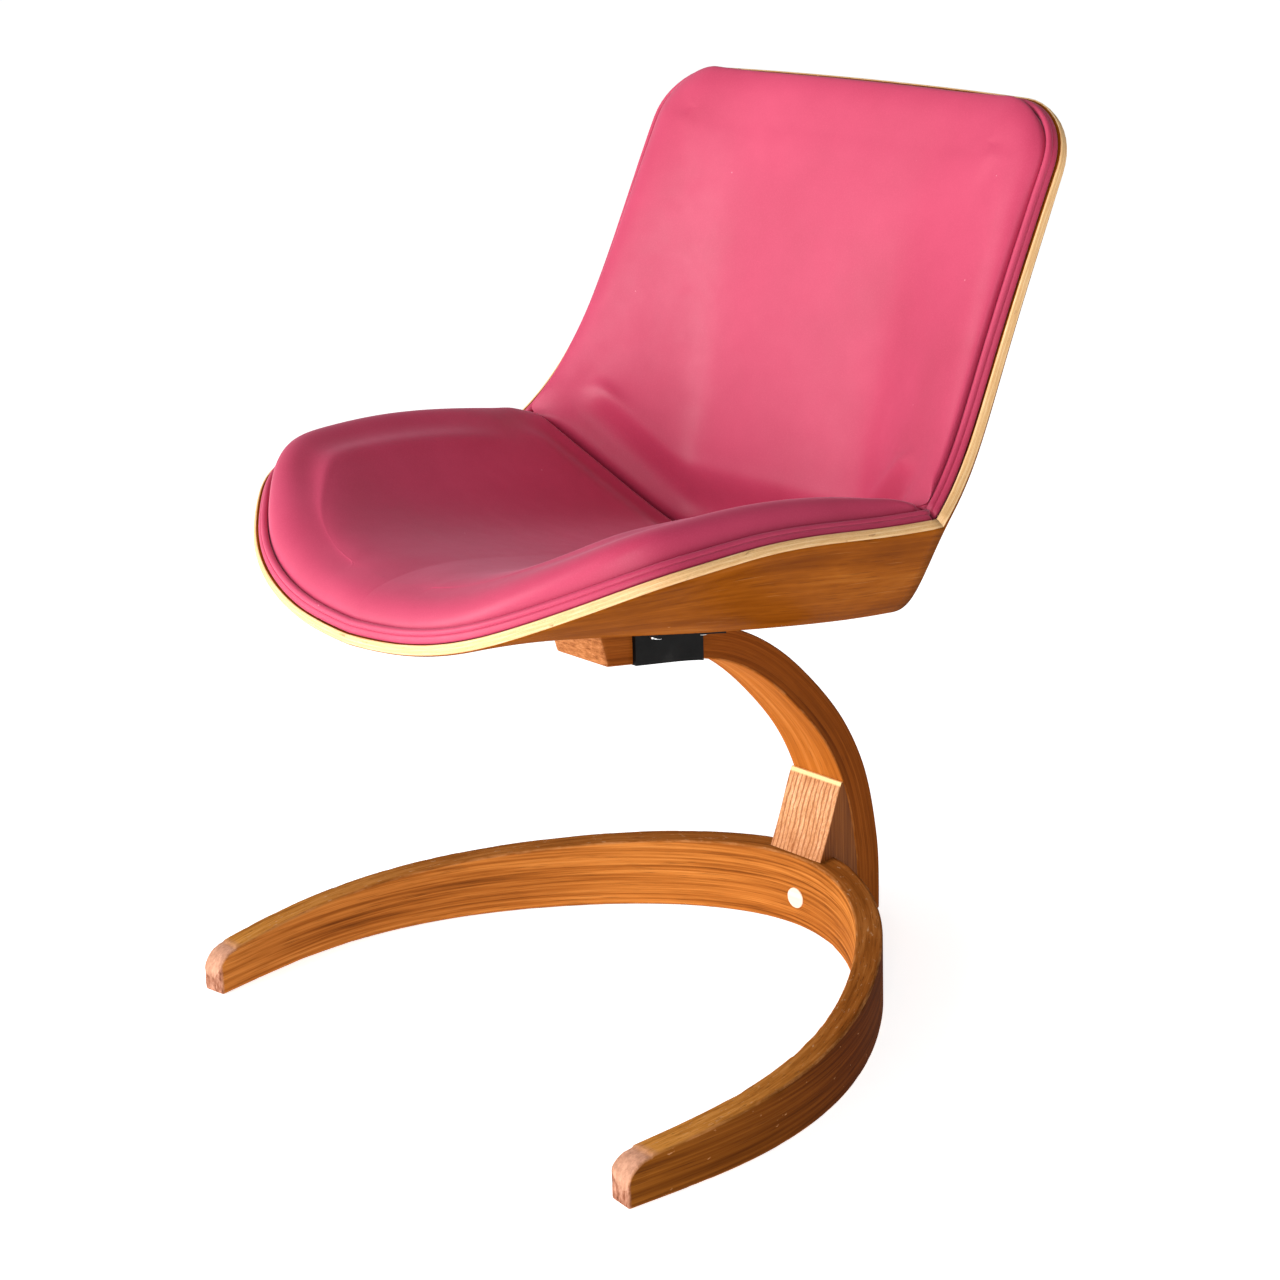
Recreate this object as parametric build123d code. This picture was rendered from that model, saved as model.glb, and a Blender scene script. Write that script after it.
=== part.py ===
from build123d import *
import os
import numpy as np

# Cantilever chair: bent laminated base, moulded plywood shell, padded panels.
# Millimetres, +Z up, the sitter looks along -Y, +X is the sitter's left.
# Shapes are first laid out with Y = 0 on the hoop's rear centre line and then
# moved by Y_SHIFT, so that the origin is the bottom centre of the whole box.
Y_SHIFT = 198.85

# ---------------------------------------------------------------- base hoop
HOOP_RUN = 620.0                      # half of the hoop's centre line
HOOP_T = 24.0                         # thickness of the laminate
HOOP_REAR_H, HOOP_MID_H, HOOP_TIP_H = 72.0, 59.4, 38.3
HOOP_BEND = (6.847, 3.183, 1.685, 2.838, 2.778, -0.391)   # curvature per metre
HOOP_TIP_R = 24.0                     # rounding of each tip's upper corner

# ---------------------------------------------------------------- upright bow
BOW_W, BOW_T = 66.0, 30.0
BOW_OUTER = [(67.6, 2.0), (67.8, 34.0), (66.6, 66.0), (62.6, 95.0), (56.6, 125.0),
             (48.2, 153.0), (37.0, 178.5), (21.0, 206.0), (1.0, 232.5), (-21.0, 257.0),
             (-49.0, 284.0), (-76.0, 304.5), (-102.0, 319.5), (-130.0, 331.0),
             (-160.0, 339.2), (-198.0, 346.0), (-236.0, 352.2), (-272.0, 358.3)]
BOW_END_RAKE = 14.0                   # front end is cut back below

# ---------------------------------------------------------------- knee block
KNEE_W = 65.0
KNEE_TOP = (17.6, 143.5)
KNEE_TOE = (-11.6, 72.0)

# ---------------------------------------------------------------- fasteners of the base
BOLT_Z = 28.0
PLUG_D, PLUG_L, PLUG_PROUD = 20.0, 7.0, 1.2
BOLT_D, BOLT_HEAD_D, BOLT_HEAD_L = 8.0, 15.0, 4.0
WASHER_D, WASHER_T = 18.0, 1.6
NUT_AF, NUT_L = 13.0, 6.5
DOWEL_D, DOWEL_L = 8.0, 30.0

# ---------------------------------------------------------------- bracket
PLATE_T = 4.0                         # top plate and cheeks of the steel saddle
BRACKET_Y0, BRACKET_Y1 = -234.5, -156.0
FLANGE_W = 66.0                       # half width of the top plate
FLANGE_BOLT_X = 50.0
FLANGE_BOLT_Y = (-220.0, -168.5)
BOW_BOLT_Y = (-220.0, -170.0)

# ---------------------------------------------------------------- plywood shell
SHELL_T = 9.5
SEAT_BEND_X = 130.0                   # where the sides of the seat turn up
MITRE_Y, MITRE_Z, MITRE_SLOPE = -104.0, 462.0, 0.728
TOP_HALF_W, TOP_Y, TOP_Z = 240.0, 99.5, 775.5
TOP_CORNER_R = 58.0
SIDE_SWEEP, SIDE_WAIST = 14.7, 8.6    # the back's side edges curve in and back
FOLD_SWEEP = 8.0                      # and turn back sooner just above the fold

# ---------------------------------------------------------------- pads
BOARD_GAP, BOARD_T, BOARD_INSET = 0.3, 5.0, 4.0
SEAT_FOAM_H, BACK_FOAM_H = 43.0, 34.0  # height of the foam over the shell, in the middle
SEAT_ROLL, BACK_ROLL = 46.0, 39.0     # the same where the pads swell along their sides
COVER_T = 1.3
PAD_INSET = 11.6
PIPING_D, PIPING_INSET, PIPING_H = 5.6, 5.7, 8.4
PAD_GAP = 3.6                         # between the two pads at the fold


def spline1(xk, yk):
    """natural cubic spline through (xk, yk)"""
    xk, yk = np.asarray(xk, float), np.asarray(yk, float)
    n, h = len(xk), np.diff(xk)
    a, b = np.zeros((n, n)), np.zeros(n)
    a[0, 0] = a[-1, -1] = 1.0
    for i in range(1, n - 1):
        a[i, i - 1], a[i, i], a[i, i + 1] = h[i - 1], 2 * (h[i - 1] + h[i]), h[i]
        b[i] = 6 * ((yk[i + 1] - yk[i]) / h[i] - (yk[i] - yk[i - 1]) / h[i - 1])
    m = np.linalg.solve(a, b)

    def f(x):
        x = np.asarray(x, float)
        i = np.clip(np.searchsorted(xk, x) - 1, 0, n - 2)
        hh, p, q = h[i], xk[i + 1] - x, x - xk[i]
        return ((m[i] * p**3 + m[i + 1] * q**3) / (6 * hh)
                + (yk[i] / hh - m[i] * hh / 6) * p + (yk[i + 1] / hh - m[i + 1] * hh / 6) * q)
    return f


def unit(v):
    return v / np.linalg.norm(v, axis=-1, keepdims=True)


# ------------------------------------------------------------ seat surface
# Upper face of the seat's plywood: a pan with a flat middle and sides that turn up.
SEAT_Y = [-560, -510, -420, -330, -235, -160, -100, -50, 0, 50]
seat_mid_z = spline1(SEAT_Y, [410.5, 408, 399, 383.5, 366, 354, 346.2, 340.8, 336.6, 333])
SEAT_Y2 = [-560, -480, -420, -360, -300, -235, -160, -80, 0, 50]
seat_slope = spline1(SEAT_Y2, [.70, .70, .705, .755, .835, .885, .895, .895, .895, .895])
seat_soft = spline1(SEAT_Y2, [46, 46, 45, 41, 36, 31, 26, 20, 16, 15])


def seat_z(x, y):
    x, w = np.abs(x), seat_soft(y)
    rise = w * (np.logaddexp(0, (x - SEAT_BEND_X) / w) - np.logaddexp(0, -SEAT_BEND_X / w))
    return seat_mid_z(y) + seat_slope(y) * rise


def seat_point(x, y):
    return np.stack(np.broadcast_arrays(x, y, seat_z(x, y)), -1)


def seat_normal(x, y, e=0.2):
    gx = (seat_z(x + e, y) - seat_z(x - e, y)) / (2 * e)
    gy = (seat_z(x, y + e) - seat_z(x, y - e)) / (2 * e)
    return unit(np.stack(np.broadcast_arrays(-gx, -gy, np.ones_like(gx)), -1))


# plan outline of the seat, from the rear corner round to the front
SEAT_EDGE = np.array([(264, -104), (260.5, -165), (259, -238), (258, -300), (256, -345),
                      (249, -386), (235, -412.5), (208, -441), (180, -463.5), (148, -481.5),
                      (104.5, -495.5), (59, -503.2), (0, -505.8)], float)


def outline(inset):
    """(x, y) of the seat's plan outline as functions of 0..1, moved inwards by inset"""
    d = np.r_[0, np.cumsum(np.linalg.norm(np.diff(SEAT_EDGE, axis=0), axis=1))]
    fx, fy = spline1(d / d[-1], SEAT_EDGE[:, 0]), spline1(d / d[-1], SEAT_EDGE[:, 1])
    end = d[-2] / d[-1]

    def f(t):
        t = np.asarray(t, float) * end
        e = 1e-4
        tx, ty = fx(t + e) - fx(t - e), fy(t + e) - fy(t - e)
        n = np.hypot(tx, ty)
        return fx(t) + inset * ty / n, fy(t) - inset * tx / n
    return f


def crease_y(x):
    """plan line of the fold: where the seat's face meets the mitre plane"""
    x = np.asarray(x, float)
    y = np.full(x.shape, -50.0)
    for _ in range(80):
        y = 0.5 * y + 0.5 * (MITRE_Y + MITRE_SLOPE * (MITRE_Z - seat_z(x, y)))
    return y


CREASE_W = float(SEAT_EDGE[0, 0])


def crease(s):
    x = s * CREASE_W
    y = crease_y(x)
    return np.stack([x, y, seat_z(x, y)], -1)


def back_point(s, t):
    """front face of the back's plywood: s across, t from the fold to the top"""
    s, t = np.broadcast_arrays(np.asarray(s, float), np.asarray(t, float))
    k = crease(s)
    top = np.stack([s * TOP_HALF_W, TOP_Y - 7.5 * s**2, TOP_Z - 3.0 * s**2], -1)
    p = k + (top - k) * t[..., None]
    b = 6.75 * t * (1 - t)**2
    p[..., 0] -= SIDE_WAIST * b * s
    p[..., 1] += (SIDE_SWEEP * b + FOLD_SWEEP * 17.6 * t * (1 - t)**6) * s**2
    return p


def back_normal(s, t, e=1e-3):
    s, t = np.broadcast_arrays(np.asarray(s, float), np.asarray(t, float))
    n = unit(np.cross(back_point(s + e, t) - back_point(s - e, t),
                      back_point(s, t + e) - back_point(s, t - e)))
    return n * np.where(n[..., 1:2] < 0, 1.0, -1.0)


def mitre_vector(s):
    """step along the mitre for one unit of thickness on both faces"""
    k = crease(s)
    n1, n2 = seat_normal(k[..., 0], k[..., 1]), back_normal(s, 0 * s)
    dot = (n1 * n2).sum(-1, keepdims=True)
    return (n1 + n2) / (1 + dot), np.sqrt((1 - dot[..., 0]) / (1 + dot[..., 0]))


ACROSS = np.linspace(-1, 1, 41)
MITRE_DIR, MITRE_TAN = mitre_vector(ACROSS)
CREASE_BOW = crease_y(ACROSS * CREASE_W) - MITRE_Y


def seat_layer(height, inset, rear, rows=25):
    """grid of points over the seat at a height over its plywood.

    height is a number or a function of (s, u); rear is the room left at the fold."""
    edge = outline(inset)
    u = np.linspace(0, 1, rows)
    grid = np.zeros((rows, len(ACROSS), 3))
    for i, ui in enumerate(u):
        h = height(ACROSS, ui) if callable(height) else np.full(len(ACROSS), float(height))
        ex, ey = edge(ui)
        x = ACROSS * ex
        back_off = np.maximum(h, 0) * MITRE_TAN + rear
        y = ey + (1 - ui)**2 * (CREASE_BOW - back_off) - 2.6 * ui**4 * (1 - ACROSS**2)
        if ui == 0 and inset:
            y = crease_y(x) - back_off
        grid[i] = seat_point(x, y) + h[:, None] * seat_normal(x, y)
    return grid


def back_layer(height, inset, rear, rows=17):
    u = np.linspace(0, 1, rows)
    grid = np.zeros((rows, len(ACROSS), 3))
    for i, ui in enumerate(u):
        h = height(ACROSS, ui) if callable(height) else np.full(len(ACROSS), float(height))
        s = ACROSS * (1 - inset / 255.0)
        length = np.linalg.norm(back_point(s, np.ones_like(s)) - back_point(s, 0 * s), axis=-1)
        t0 = (np.maximum(h, 0) * MITRE_TAN + rear) / length
        t = t0 + (1 - inset / length - t0) * ui
        grid[i] = back_point(s, t) + h[:, None] * back_normal(s, t)
    return grid


def shifted(grid):
    g = np.array(grid, float)
    g[..., 1] += Y_SHIFT
    return g


def patch(grid):
    return Face.make_surface_from_array_of_points(
        [[tuple(float(c) for c in p) for p in row] for row in grid], tol=0.02, max_deg=3)


def between(lower, upper):
    """closed solid between two grids of points"""
    fa, fb = patch(shifted(lower)), patch(shifted(upper))
    sides = []
    for ea in fa.edges():
        mid = ea @ 0.5
        eb = min(fb.edges(), key=lambda e: (e @ 0.5 - mid).length)
        sides.append(Face.make_surface_from_curves(ea, eb))
    body = Solid(Shell([fa, fb] + sides))
    if body.volume < 0:
        body = Solid(Shell([f for f in body.faces()])).fix()
    return body


def rod(a, b, d):
    """round rod from a to b (laid-out coordinates)"""
    a, b = Vector(a[0], a[1] + Y_SHIFT, a[2]), Vector(b[0], b[1] + Y_SHIFT, b[2])
    pl = Plane(origin=a, z_dir=(b - a))
    return Solid.make_cylinder(d / 2, (b - a).length, pl)


def hexagon(a, b, flats):
    a, b = Vector(a[0], a[1] + Y_SHIFT, a[2]), Vector(b[0], b[1] + Y_SHIFT, b[2])
    pl = Plane(origin=a, z_dir=(b - a))
    return extrude(pl * RegularPolygon(flats / 2, 6, major_radius=False), (b - a).length)


def side_profile(edges, width):
    """prism of a closed (y, z) outline, centred on X = 0"""
    face = Face(Wire(edges))
    return extrude(face, width / 2, dir=(1, 0, 0), both=True)


def yz(p):
    return (0.0, float(p[0]) + Y_SHIFT, float(p[1]))


os.makedirs("parts", exist_ok=True)
nodes = {}

# ------------------------------------------------------------ base hoop
n_run = 121
run = np.linspace(0, HOOP_RUN, n_run)
bend = np.interp(run, np.linspace(0, HOOP_RUN, len(HOOP_BEND)), HOOP_BEND) / 1000.0
head = np.r_[0, np.cumsum((bend[1:] + bend[:-1]) / 2 * np.diff(run))]
hx = np.r_[0, np.cumsum((np.cos(head[1:]) + np.cos(head[:-1])) / 2 * np.diff(run))]
hy = -np.r_[0, np.cumsum((np.sin(head[1:]) + np.sin(head[:-1])) / 2 * np.diff(run))]
out_n = np.stack([np.sin(head), np.cos(head)], -1)
mid = np.stack([hx, hy], -1)
pick = np.unique(np.r_[np.arange(0, n_run, 8), n_run - 1])


def hoop_edge(offset):
    half = (mid + offset * out_n)[pick]
    full = np.vstack([half[::-1] * [-1, 1], half[1:]])
    return [(float(x), float(y) + Y_SHIFT) for x, y in full]


outer_pts, inner_pts = hoop_edge(HOOP_T / 2), hoop_edge(-HOOP_T / 2)
plan = Face(Wire([Edge.make_spline([Vector(*p, 0) for p in outer_pts]),
                  Edge.make_line(Vector(*outer_pts[-1], 0), Vector(*inner_pts[-1], 0)),
                  Edge.make_spline([Vector(*p, 0) for p in inner_pts[::-1]]),
                  Edge.make_line(Vector(*inner_pts[0], 0), Vector(*outer_pts[0], 0))]))
hoop = extrude(plan, HOOP_REAR_H + 20, dir=(0, 0, 1))
u = run / HOOP_RUN
height = (HOOP_REAR_H * (1 - u) * (1 - 2 * u) + HOOP_MID_H * 4 * u * (1 - u)
          + HOOP_TIP_H * u * (2 * u - 1))
tip_y = float(min(p[1] for p in (outer_pts[-1], inner_pts[-1]))) - Y_SHIFT
hpick = [0, 24, 40, 52, 64, 76, 88, 100, 110]
top_line = [(40.0, HOOP_REAR_H + 0.2)] + [(float(hy[i]), float(height[i])) for i in hpick]
r = HOOP_TIP_R
arc_start = (tip_y + r, HOOP_TIP_H + 0.6)
arc_mid = (tip_y + r * (1 - np.cos(np.pi / 4)), HOOP_TIP_H - r * (1 - np.sin(np.pi / 4)))
arc_end = (tip_y - 0.6, HOOP_TIP_H - r)
profile = [Edge.make_spline([yz(p) for p in top_line] + [yz(arc_start)]),
           Edge.make_three_point_arc(yz(arc_start), yz(arc_mid), yz(arc_end)),
           Edge.make_line(yz(arc_end), yz((tip_y - 0.6, 0))),
           Edge.make_line(yz((tip_y - 0.6, 0)), yz((40.0, 0))),
           Edge.make_line(yz((40.0, 0)), yz(top_line[0]))]
hoop = hoop & side_profile(profile, 800)

# ------------------------------------------------------------ upright bow
outer = np.array(BOW_OUTER)
seg = np.r_[0, np.cumsum(np.linalg.norm(np.diff(outer, axis=0), axis=1))]
bfy, bfz = spline1(seg, outer[:, 0]), spline1(seg, outer[:, 1])
ss = np.linspace(0, seg[-1], 33)
oy, oz = bfy(ss), bfz(ss)
dy, dz = bfy(ss + 0.5) - bfy(ss - 0.5), bfz(ss + 0.5) - bfz(ss - 0.5)
dl = np.hypot(dy, dz)
iy, iz = oy - BOW_T * dz / dl, oz + BOW_T * dy / dl
iy[-1] += BOW_END_RAKE
iz[-1] -= BOW_END_RAKE * 0.166
iz[0] = oz[0]
bow_outer = list(zip(oy, oz))
bow_inner = list(zip(iy, iz))
bow_full = side_profile([Edge.make_spline([yz(p) for p in bow_outer]),
                         Edge.make_line(yz(bow_outer[-1]), yz(bow_inner[-1])),
                         Edge.make_spline([yz(p) for p in bow_inner[::-1]]),
                         Edge.make_line(yz(bow_inner[0]), yz(bow_outer[0]))], BOW_W)


def bow_inner_at(z):
    i = np.argsort(iz[:22])
    return float(np.interp(z, iz[:22][i], iy[:22][i]))


# ------------------------------------------------------------ knee block
knee_face = [KNEE_TOP, (11.0, 128.0), (3.6, 108.0), (-4.4, 88.0), KNEE_TOE]
knee_back = [(bow_inner_at(z), z) for z in (2.0, 20.0, 40.0, 60.0, 80.0, 100.0, 120.0, 135.0)]
knee_back.append((bow_inner_at(143.5), 143.5))
knee = side_profile([Edge.make_spline([yz(p) for p in knee_face]),
                     Edge.make_line(yz(KNEE_TOE), yz((-11.6, 2.0))),
                     Edge.make_line(yz((-11.6, 2.0)), yz((knee_back[0][0] + 9, 2.0))),
                     Edge.make_spline([yz((y + 9, z)) for y, z in knee_back]),
                     Edge.make_line(yz((knee_back[-1][0] + 9, 143.5)), yz(KNEE_TOP))], KNEE_W)
hoop_room = extrude(Face(Wire([Edge.make_spline([Vector(*p, 0) for p in hoop_edge(HOOP_T / 2)]),
                               Edge.make_line(Vector(*outer_pts[-1], 0), Vector(*outer_pts[0], 0))])),
                    HOOP_REAR_H + 0.15, dir=(0, 0, 1))
knee = ((knee - hoop_room) - hoop) - bow_full

# ------------------------------------------------------------ fasteners of the base
inner0 = -HOOP_T / 2
head_y = inner0 + PLUG_L + 1.0
w1 = head_y + BOLT_HEAD_L
nut_seat = 67.7 - 12.0
hoop = hoop - rod((0, inner0 - 5, BOLT_Z), (0, w1 + WASHER_T, BOLT_Z), PLUG_D)
hoop = hoop - rod((0, -20, BOLT_Z), (0, 40, BOLT_Z), BOLT_D + 0.6)
knee = knee - rod((0, 0, BOLT_Z), (0, 60, BOLT_Z), BOLT_D + 0.6)
bow = bow_full - rod((0, 20, BOLT_Z), (0, 90, BOLT_Z), BOLT_D + 0.6)
bow = bow - rod((0, nut_seat, BOLT_Z), (0, 90, BOLT_Z), 20.0)

nodes["base_bolt_plug"] = rod((0, inner0 - PLUG_PROUD, BOLT_Z), (0, inner0 + PLUG_L, BOLT_Z), PLUG_D - 0.1)
nodes["base_bolt_plug"] = fillet(nodes["base_bolt_plug"].edges().sort_by(Axis.Y)[0], 0.9)
bolt = rod((0, head_y, BOLT_Z), (0, w1, BOLT_Z), BOLT_HEAD_D)
bolt = bolt + rod((0, w1, BOLT_Z), (0, nut_seat + WASHER_T + NUT_L + 2.0, BOLT_Z), BOLT_D)
nodes["base_bolt"] = bolt


def ring(a, b, d, bore):
    return rod(a, b, d) - rod((a[0], a[1] - 1, a[2]), (b[0], b[1] + 1, b[2]), bore)


nodes["base_washers"] = Compound([
    ring((0, w1, BOLT_Z), (0, w1 + WASHER_T, BOLT_Z), WASHER_D, BOLT_D + 0.6),
    ring((0, nut_seat, BOLT_Z), (0, nut_seat + WASHER_T, BOLT_Z), WASHER_D, BOLT_D + 0.6)])
nodes["base_nut"] = (hexagon((0, nut_seat + WASHER_T, BOLT_Z), (0, nut_seat + WASHER_T + NUT_L, BOLT_Z), NUT_AF)
                     - rod((0, nut_seat, BOLT_Z), (0, 90, BOLT_Z), BOLT_D))

dowels = []
for x in (-18.0, 18.0):
    for a, b in (((x, 1.0, HOOP_REAR_H - 14.0), (x, 1.0, HOOP_REAR_H + 16.0)),
                 ((x, bow_inner_at(100.0) - 14.0, 98.0), (x, bow_inner_at(100.0) + 14.0, 104.0))):
        dowels.append(rod(a, b, DOWEL_D))
for d in dowels:
    hoop, knee, bow = hoop - d, knee - d, bow - d
nodes["knee_dowels"] = Compound(dowels)

# ------------------------------------------------------------ plywood shell
seat_in = seat_layer(0.0, 0.0, 0.1)
seat_out = np.array(seat_in)
s0 = ACROSS
for i in range(len(seat_in)):
    p = seat_in[i]
    seat_out[i] = p - SHELL_T * seat_normal(p[:, 0], p[:, 1])
seat_out[0] = seat_in[0] - SHELL_T * MITRE_DIR
seat_shell = between(seat_out, seat_in)

back_in = back_layer(0.0, 0.0, 0.1)
rows_b = back_in.shape[0]
back_out = np.array(back_in)
for i, ui in enumerate(np.linspace(0, 1, rows_b)):
    back_out[i] = back_in[i] - SHELL_T * back_normal(ACROSS, np.full(len(ACROSS), ui))
back_out[0] = back_in[0] - SHELL_T * MITRE_DIR
back_shell = between(back_out, back_in)


def corner_cut(sign, inset, radius, flats=0):
    """prism that rounds one upper corner of the back, seen square to the back"""
    s = sign * (1 - inset / 255.0)
    tip = back_point(s, 1 - inset / 330.0)
    down = unit(back_point(s, 0.80) - tip)
    along = unit(back_point(s * 0.8, 1 - inset / 330.0) - tip)
    nrm = unit(np.cross(down, along))
    ang = np.arccos(float((down * along).sum()))
    leg = radius / np.tan(ang / 2)
    cen = tip + unit(down + along) * radius / np.sin(ang / 2)

    def v(p):
        return Vector(float(p[0]), float(p[1]) + Y_SHIFT, float(p[2]))
    a, b = tip + down * leg, tip + along * leg
    far = tip - unit(down + along) * 40
    arc_mid = cen + unit(tip - cen) * radius
    turn = [Edge.make_three_point_arc(v(a), v(arc_mid), v(b))]
    if flats:
        fan = [cen + radius * unit((a - cen) * (1 - k / flats) + (b - cen) * k / flats) for k in range(flats + 1)]
        turn = [Edge.make_line(v(p), v(q)) for p, q in zip(fan, fan[1:])]
    face = Face(Wire(turn + [Edge.make_line(v(b), v(b - down * 40)), Edge.make_line(v(b - down * 40), v(far - down * 0 - along * 0)),
                      Edge.make_line(v(far), v(a - along * 40)), Edge.make_line(v(a - along * 40), v(a))]))
    return extrude(face, 70, dir=Vector(*[float(c) for c in nrm]), both=True)


for sign in (-1, 1):
    back_shell = back_shell - corner_cut(sign, 0.0, TOP_CORNER_R)

# pins across the mitre, longer where the fold is flatter
pins = []
for s, half_l in ((-0.92, 6.0), (-0.72, 6.0), (-0.36, 4.2), (-0.12, 4.2),
                  (0.12, 4.2), (0.36, 4.2), (0.72, 6.0), (0.92, 6.0)):
    k = crease(np.array([s]))[0]
    m, _ = mitre_vector(np.array([s]))
    n1 = seat_normal(np.array([k[0]]), np.array([k[1]]))[0]
    n2 = back_normal(np.array([s]), np.array([0.0]))[0]
    c = k - m[0] * SHELL_T * 0.5
    d = unit(n1 - n2)
    pins.append(rod(c - d * half_l, c + d * half_l, 3.0))
for d in pins:
    seat_shell, back_shell = seat_shell - d, back_shell - d
nodes["mitre_pins"] = Compound(pins)

# ------------------------------------------------------------ bracket under the seat
def bow_top_at(y):
    i = np.argsort(oy[12:])
    return float(np.interp(y, oy[12:][i], oz[12:][i]))


def bow_under_at(y):
    i = np.argsort(iy[10:])
    return float(np.interp(y, iy[10:][i], iz[10:][i]))


def shell_under(y):
    return float(seat_z(np.array(0.0), np.array(y))) - SHELL_T * 1.014


ya, yb = BRACKET_Y0, BRACKET_Y1
ys = np.linspace(ya, yb, 7)
# saddle seen from the side: it follows the bow's upper and lower faces
top_side = [(y, bow_top_at(y) + PLATE_T) for y in ys]
low_side = [(y, bow_under_at(y)) for y in ys]
saddle = side_profile([Edge.make_spline([yz(p) for p in top_side]),
                       Edge.make_line(yz(top_side[-1]), yz(low_side[-1])),
                       Edge.make_spline([yz(p) for p in low_side[::-1]]),
                       Edge.make_line(yz(low_side[0]), yz(top_side[0]))], BOW_W + 2 * PLATE_T)
flange_low = [(y, bow_top_at(y)) for y in ys]
flange = side_profile([Edge.make_spline([yz(p) for p in top_side]),
                       Edge.make_line(yz(top_side[-1]), yz(flange_low[-1])),
                       Edge.make_spline([yz(p) for p in flange_low[::-1]]),
                       Edge.make_line(yz(flange_low[0]), yz(top_side[0]))], 2 * FLANGE_W)
bracket = (saddle + flange) - bow_full
print("room under the shell at the bracket:",
      [round(shell_under(y) - bow_top_at(y) - PLATE_T, 2) for y in ys])

bolts, tees, bbolts = [], [], []
tilt = unit(np.array([0.0, 0.163, 1.0]))          # square to the bracket's plate


def on_axis(top, z_of):
    """distance down the bolt's axis to the surface z_of(y)"""
    d = 0.0
    for _ in range(30):
        p = top - d * tilt
        d += (p[2] - z_of(p[1])) / (tilt[2] + 0.163 * tilt[1])
    return d


for y in FLANGE_BOLT_Y:
    for x in (-FLANGE_BOLT_X, FLANGE_BOLT_X):
        t_top = seat_point(np.array(x), np.array(y)) - 0.8 * tilt
        d = on_axis(t_top, bow_top_at)
        base = t_top - d * tilt                    # underside of the flange
        bolts.append(rod(base - 3.4 * tilt, base - 0.3 * tilt, 11.0)
                     + rod(base - 0.3 * tilt, t_top - 2.0 * tilt, 5.0))
        tees.append((rod(t_top - 7.5 * tilt, t_top, 7.5) + rod(t_top - 1.6 * tilt, t_top, 18.0))
                    - rod(base, t_top + 10 * tilt, 5.1))
        seat_shell = seat_shell - rod(t_top - 1.65 * tilt, t_top + 8 * tilt, 18.2)
        seat_shell = seat_shell - rod(base, t_top + 8 * tilt, 7.6)
        bracket = bracket - rod(base - 6 * tilt, base + 8 * tilt, 5.4)
for y in BOW_BOLT_Y:
    t_top = seat_point(np.array(0.0), np.array(y)) - 0.8 * tilt
    low = t_top - on_axis(t_top, bow_under_at) * tilt
    bbolts.append(rod(low + 0.6 * tilt, low + 4.6 * tilt, 14.0)
                  + rod(low + 4.6 * tilt, t_top - 2.0 * tilt, 6.0))
    tees.append((rod(t_top - 7.5 * tilt, t_top, 8.5) + rod(t_top - 1.6 * tilt, t_top, 18.0))
                - rod(low, t_top + 10 * tilt, 6.1))
    seat_shell = seat_shell - rod(t_top - 1.65 * tilt, t_top + 8 * tilt, 18.2)
    seat_shell = seat_shell - rod(low, t_top + 8 * tilt, 8.6)
    bracket = bracket - rod(low, t_top, 6.6)
    bow = bow - rod(low - 8 * tilt, low + 4.6 * tilt, 14.2)
    bow = bow - rod(low, t_top, 6.6)
nodes["flange_bolts"] = Compound(bolts)
nodes["seat_tee_nuts"] = Compound(tees)
nodes["bow_bolts"] = Compound(bbolts)

# ------------------------------------------------------------ pads
def crown(top, roll, edge_low, rear_low):
    """height of a pad's face: level in the middle, swelling along the sides, rolled down at the rim"""
    def f(s, u):
        a = np.abs(s)
        full = np.clip(u / 0.18, 0, 1) * np.clip((1 - u) / 0.45, 0, 1)
        high = top + (roll - top) * full**2 * (3 - 2 * full) * np.exp(-((1 - a) / 0.30)**2)
        side = 1 - np.clip((a - 0.84) / 0.16, 0, 1)**2
        front = 1 - np.clip((u - 0.86) / 0.14, 0, 1)**2
        rear = 1 - np.clip((0.10 - u) / 0.10, 0, 1)**2
        rim = np.sqrt(np.clip(side, 0, 1) * np.clip(front, 0, 1))
        return edge_low + (high - edge_low) * rim * (rear_low + (1 - rear_low) * rear)
    return f


b0, b1 = BOARD_GAP, BOARD_GAP + BOARD_T
seat_board = between(seat_layer(b0, BOARD_INSET, 1.0), seat_layer(b1, BOARD_INSET, 1.0))
foam_top = crown(SEAT_FOAM_H, SEAT_ROLL, b1 + 3.2, 0.80)
back_top = crown(BACK_FOAM_H, BACK_ROLL, b1 + 3.2, 0.80)
seat_foam = between(seat_layer(b1 + 0.5, PAD_INSET, PAD_GAP), seat_layer(foam_top, PAD_INSET, PAD_GAP))


def lifted(f, d):
    return lambda s, u: f(s, u) + d


seat_cover = between(seat_layer(lifted(foam_top, 0.35), PAD_INSET, PAD_GAP),
                     seat_layer(lifted(foam_top, 0.35 + COVER_T), PAD_INSET, PAD_GAP))

back_board = between(back_layer(b0, BOARD_INSET, 1.0), back_layer(b1, BOARD_INSET, 1.0))
back_foam = between(back_layer(b1 + 0.5, PAD_INSET, PAD_GAP), back_layer(back_top, PAD_INSET, PAD_GAP))
back_cover = between(back_layer(lifted(back_top, 0.35), PAD_INSET, PAD_GAP),
                     back_layer(lifted(back_top, 0.35 + COVER_T), PAD_INSET, PAD_GAP))
for sign in (-1, 1):
    back_board = back_board - corner_cut(sign, BOARD_INSET, TOP_CORNER_R - BOARD_INSET)
    cut = corner_cut(sign, PAD_INSET, TOP_CORNER_R - PAD_INSET + 5.0, 4)
    back_foam, back_cover = back_foam - cut, back_cover - cut


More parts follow.
